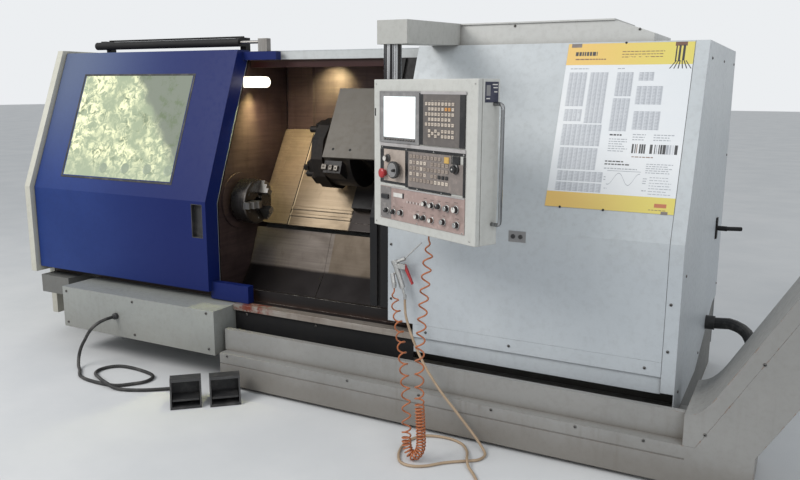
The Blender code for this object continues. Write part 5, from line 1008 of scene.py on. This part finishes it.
def print_patch(bm, s0, t0, s1, t1, index, lift, lean=0.0):
    """A printed rectangle that follows the sheet; lean shifts its foot to the left."""
    across = max(1, int((s1 - s0) / 0.05))
    down = max(1, int((t1 - t0) / 0.05))
    grid = [[bm.verts.new(paper_point(s0 + (s1 - s0) * i / across - lean * j / down, t0 + (t1 - t0) * j / down, lift))
             for i in range(across + 1)] for j in range(down + 1)]
    for j in range(down):
        for i in range(across):
            bm.faces.new((grid[j][i], grid[j + 1][i], grid[j + 1][i + 1], grid[j][i + 1])).material_index = index


def print_table(bm, s0, t0, s1, t1, columns, rows):
    """A shaded table with its columns and rows of small figures."""
    print_patch(bm, s0, t0, s1, t1, TABLE, 0.12)
    wide = (s1 - s0) / columns
    high = (t1 - t0) / rows
    for c in range(columns):
        print_patch(bm, s0 + wide * (c + 0.6), t0, s0 + wide * (c + 0.95), t1, COLUMN, 0.18)
        for r in range(rows):
            start = s0 + wide * (c + 0.1 + 0.1 * random.random())
            end = s0 + wide * (c + 0.55 + 0.35 * random.random())
            print_patch(bm, start, t0 + high * (r + 0.32), end, t0 + high * (r + 0.66), TEXT, 0.24)


def print_lines(bm, s0, t0, s1, t1, rows, index=TEXT, thick=0.35):
    """Lines of words, each word a small bar."""
    high = (t1 - t0) / rows
    for r in range(rows):
        end = s0 + (s1 - s0) * (0.72 + 0.28 * random.random())
        place = s0
        while place < end - 0.004:
            word = min(0.012 + 0.022 * random.random(), end - place)
            middle = t0 + high * (r + 0.5)
            print_patch(bm, place, middle - high * thick / 2, place + word, middle + high * thick / 2, index, 0.24)
            place += word + 0.006


def print_rows(bm, draw, rows):
    for row in rows:
        draw(bm, *(value / 1000 for value in row[:4]), *row[4:])


def printed(name, colour, second):
    """Ink under a laminate: faint mottling, scuffs and handling marks."""
    n = Nodes(name)
    tone = n.mix(n.spread(n.noise(3.0, 4, 0.6), 0.35, 0.7), colour, second)
    scuff = n.spread(n.noise(1.0, 4, 0.7, n.stretch((30, 8, 90))), 0.6, 0.78)
    tone = n.mix(n.times(scuff, 0.15), tone, (0.42, 0.41, 0.38))
    return n.finish(tone, n.plus(n.times(scuff, 0.2), 0.28), 0.0, n.bump(n.noise(6, 3), 0.12, 0.002))


def band_material():
    """The printed band runs from orange at the left to a greener yellow at the right."""
    n = Nodes("print_yellow")
    tone = n.mix(n.spread(n.axes()[0], CHART_LEFT, CHART_RIGHT), (0.8, 0.53, 0.17), (0.72, 0.62, 0.16))
    scuff = n.spread(n.noise(1.0, 4, 0.7, n.stretch((30, 8, 90))), 0.6, 0.78)
    tone = n.mix(n.times(scuff, 0.2), tone, (0.8, 0.7, 0.4))
    return n.finish(tone, 0.28, 0.0, n.bump(n.noise(6, 3), 0.12, 0.002))


def sheet(bm):
    """The laminated sheet itself, with a front, a back and an edge."""
    columns, rows = 24, 34
    front, back = ([[bm.verts.new(paper_point(i / columns, j / rows, lift)) for i in range(columns + 1)]
                    for j in range(rows + 1)] for lift in (0.0, -0.4))
    for grid in (front, back):
        for j in range(rows):
            for i in range(columns):
                corners = (grid[j][i], grid[j + 1][i], grid[j + 1][i + 1], grid[j][i + 1])
                bm.faces.new(corners if grid is front else tuple(reversed(corners)))
    edge = ([(0, i) for i in range(columns)] + [(j, columns) for j in range(rows)]
            + [(rows, i) for i in range(columns, 0, -1)] + [(j, 0) for j in range(rows, 0, -1)])
    for (j0, i0), (j1, i1) in zip(edge, edge[1:] + edge[:1]):
        bm.faces.new((front[j0][i0], front[j1][i1], back[j1][i1], back[j0][i0]))


def chart():
    looks = [printed("print_sheet", (0.74, 0.76, 0.78), (0.79, 0.8, 0.81)), band_material(),
             printed("print_grey", (0.6, 0.62, 0.65), (0.65, 0.665, 0.69)),
             printed("print_column", (0.46, 0.48, 0.51), (0.52, 0.53, 0.56)),
             printed("print_text", (0.34, 0.355, 0.39), (0.41, 0.425, 0.45)),
             printed("print_dark", (0.05, 0.05, 0.055), (0.09, 0.09, 0.09)),
             printed("print_red", (0.48, 0.15, 0.08), (0.55, 0.21, 0.11)),
             printed("print_brown", (0.18, 0.1, 0.07), (0.26, 0.16, 0.11))]
    bm = bmesh.new()
    sheet(bm)
    print_rows(bm, print_patch, PATCHES)
    print_rows(bm, print_patch, [(s - wide / 2, 608, s + wide / 2, 662, look, 0.3) for s, wide, look in BARS])
    for k in range(6):
        print_patch(bm, 0.872 + 0.014 * k, 0.112, 0.88 + 0.014 * k, 0.16, BLACK, 0.3, (2.5 - k) * 0.018)
    print_rows(bm, print_lines, HEAD_LINES)
    print_rows(bm, print_table, TABLES)
    print_rows(bm, print_lines, BODY_LINES)
    path = [(0.465 + 0.25 * k / 60, 0.816 - 0.034 * math.sin(3.2 * math.pi * k / 60 - 2.0)) for k in range(61)]
    for (s0, t0), (s1, t1) in zip(path, path[1:]):
        ends = ((s0, t0 - 0.002), (s0, t0 + 0.002), (s1, t1 + 0.002), (s1, t1 - 0.002))
        bm.faces.new([bm.verts.new(paper_point(s, t, 0.3)) for s, t in ends]).material_index = TEXT
    made = add("reference_chart_looks", bm, looks)
    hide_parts("reference_chart")
    bm = bmesh.new()
    print_rows(bm, print_patch, ((27.5, 0, 112.5, 24, 0, 0.5), (905, 986, 955, 1002, 0, 0.5)))
    for s, t in ((0.47, -0.001), (0.125, 1.0), (0.47, 1.0)):
        centre = paper_point(s, t, 0.0)
        lathe(bm, [(0, 0), (0, 5.5), (0.8, 5.2), (1.4, 3), (1.5, 0)], turn_between(centre, centre + SLANT_OUT), 14, 1)
    add("chart_fixings", bm, [PENDANT_LOOKS[FIELD_MID], PENDANT_LOOKS[GLOSS]])


chart()


# Screws, plates, seal and small fittings

# Node, side it is seen from, radius in mm, and the places on that side
SCREWS = (("left_base_cover", "front", 7.5, ((0.462, 0.374), (0.988, 0.377), (1.52, 0.385), (0.462, 0.188),
                                             (0.995, 0.188), (1.53, 0.191))),
          ("sill_skirt", "front", 7.0, [(x, 0.353) for x in (1.65, 2.092, 2.56)]),
          ("conveyor_body", "front", 6.5, [(x, 0.175) for x in (1.659, 2.389, 2.77, 3.122, 3.493, 3.768)]),
          ("conveyor_hood", "front", 6.5, ((3.994, 0.248), (4.177, 0.562))),
          ("right_front_cover", "front", 6.5, ((2.536, 0.825), (2.536, 0.56))),
          ("right_end_panel", "front", 6.5, ((3.813, 0.698), (3.813, 0.5))),
          ("roof_duct", "front", 6.0, ((2.994, 1.833), (3.557, 1.803))),
          ("front_skirt", "front", 6.5, [(x, 0.417) for x in (2.721, 3.134, 3.726)]),
          ("right_end_panel", "right", 6.5, ((0.1, 0.3), (0.1, 0.8), (0.42, 1.68), (0.9, 1.68), (1.4, 1.68),
                                             (1.42, 1.2), (1.42, 0.8), (1.42, 0.48), (0.76, 0.27))),
          ("rear_cover", "rear", 6.5, [(x, z) for x in (0.3, 0.9, 1.5, 2.1, 2.7, 3.3, 3.7)
                                       for z in (0.3, 0.98, 1.66)]),
          ("left_end_frame", "left", 6.5, ((0.3, 0.62), (0.85, 0.62), (0.45, 1.6), (0.95, 1.6))))


def seat(node, across, z, side="front"):
    """Where a line into one side of the machine meets a node, and the surface's outward normal there."""
    start, direction = {"front": ((across, -2.0, z), (0, 1, 0)), "rear": ((across, 4.0, z), (0, -1, 0)),
                        "left": ((-2.0, across, z), (1, 0, 0)), "right": ((6.0, across, z), (-1, 0, 0))}[side]
    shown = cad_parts[node]
    points = [shown.matrix_world @ v.co for v in shown.data.vertices]
    tree = BVHTree.FromPolygons(points, [tuple(p.vertices) for p in shown.data.polygons])
    place, normal, _, _ = tree.ray_cast(at(*start), Vector(direction))
    if place is None:
        raise ValueError(f"{node} isn't met from the {side} at {across}, {z}")
    return place, normal if normal.dot(Vector(direction)) <= 0 else -normal


def cover_screws():
    """Cap screws where the photograph shows them, and the same kind round the sheets it doesn't show."""
    bm = bmesh.new()
    for node, side, radius, places in SCREWS:
        for across, z in places:
            screw(bm, *seat(node, across, z, side), radius)
    add("cover_screws", bm, [screw_steel, recess_shade])


def cover_plate():
    """Small blanking plate with two black plugs on the right cover."""
    bm = bmesh.new()
    spot = Matrix.Translation(seat("right_front_cover", 3.157, 0.918)[0])
    block(bm, (-39, -1.6, -24), (39, 0, 24), spot, 0, 0.6)
    for x in (-18.5, 15.5):
        turn = spot @ Matrix.Translation(mm(x, -1.4, 0)) @ Matrix.Rotation(math.pi / 2, 4, "X")
        lathe(bm, [(0, 9.5), (3, 9.5), (4.2, 8), (4.5, 0)], turn, 20, 1)
    add("cover_plate", bm, [PENDANT_LOOKS[BEZEL], PENDANT_LOOKS[GLOSS]])


def window_details():
    """Rubber seal round the pane and four round marks along its foot."""
    place, normal = seat("door_window", 0.7, 1.3)
    step = (seat("door_panel", 0.2, 1.3)[0] - place).dot(normal) * 1000
    up = Vector((1.0, 0.0, 0.0)).cross(-normal).normalized()
    if up.z < 0:
        up = -up
    low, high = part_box("door_window")
    middle = Vector(((low.x + high.x) / 2, place.y, place.z)) + up * (((low.z + high.z) / 2 - place.z) / up.z)
    wide = (high.x - low.x) / 2 * 1000
    tall = (high.z - low.z) / 2 / up.z * 985
    spot = Matrix.Translation(middle) @ Matrix((Vector((1, 0, 0)), up, normal)).transposed().to_4x4()
    base, top = min(step, 0.0) - 0.2, max(step, 0.0) + 1.6
    band = 5.5
    bm = bmesh.new()
    for x0, y0, x1, y1 in ((-wide - band, tall - band, wide + band, tall + band),
                           (-wide - band, -tall - band, wide + band, -tall + band),
                           (-wide - band, -tall + band, -wide + band, tall - band),
                           (wide - band, -tall + band, wide + band, tall - band)):
        block(bm, (x0, y0, base), (x1, y1, top), spot, 0, 1.2)
    add("window_seal", bm, [black_rubber], "door")
    bm = bmesh.new()
    for x, z in ((0.592, 1.084), (0.766, 1.09), (0.937, 1.093), (1.096, 1.092)):
        mark, out = seat("door_window", x, z)
        lathe(bm, [(-0.1, 31), (0.7, 30.5), (0.9, 28.5), (0.4, 26.5), (0.4, 11), (0.8, 9.5), (0.8, 0)],
              turn_between(mark, mark + out), 36)
    film = moulded("mark_film", (0.28, 0.33, 0.24), 0.25, (0.42, 0.46, 0.32), 0.6, 0.0008)
    add("window_marks", bm, [film], "door")


def turret_details():
    """Bolts round the disc's front, clamp wedges, and the two holes in the housing's plate."""
    bm = bmesh.new()
    centre_y, centre_z = 0.4705, 1.1945
    for k in range(12):
        angle = 2 * math.pi * (k + 0.5) / 12
        for radius, size in ((0.15, 7.0), (0.085, 5.5)):
            place, normal = seat("turret_disc", centre_y + radius * math.cos(angle),
                                 centre_z + radius * math.sin(angle), "left")
            if abs(normal.x) > 0.95:
                screw(bm, place, normal, size)
    add("turret_bolts", bm, [bolt_steel, recess_shade], "turret")
    bm = bmesh.new()
    for x, z in ((2.035, 1.235), (2.139, 1.234)):
        place, normal = seat("turret_housing", x, z)
        lathe(bm, [(-0.5, 0), (0.6, 0), (0.6, 6.5), (0, 7.5)], turn_between(place, place + normal), 16, 1)
    for x, z, wide in ((2.005, 1.142, 30), (2.045, 1.14, 20), (2.078, 1.138, 24)):
        place, normal = seat("turret_housing", x, z)
        spot = turn_between(place, place + normal)
        block(bm, (-wide / 2, -14, -1), (wide / 2, 14, 12), spot, 0, 4)
        screw(bm, (spot @ Matrix.Translation(mm(0, 0, 11.8))).translation, normal, 5.5)
    add("turret_clamps", bm, [bolt_steel, recess_shade], "cross_slide")


def chuck_details():
    """Cap screws in the chuck's face between the jaws."""
    bm = bmesh.new()
    low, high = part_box("spindle_chuck")
    centre_y, centre_z = (low.y + high.y) / 2 - SHIFT.y, (low.z + high.z) / 2
    for k in range(6):
        angle = math.radians(30 + 60 * k)
        place, normal = seat("spindle_chuck", centre_y + 0.092 * math.cos(angle),
                             centre_z + 0.092 * math.sin(angle), "right")
        if normal.x > 0.95:
            screw(bm, place, normal, 7.5)
    add("chuck_screws", bm, [bolt_steel, recess_shade], "spindle")


cover_screws()
cover_plate()
window_details()
turret_details()
chuck_details()
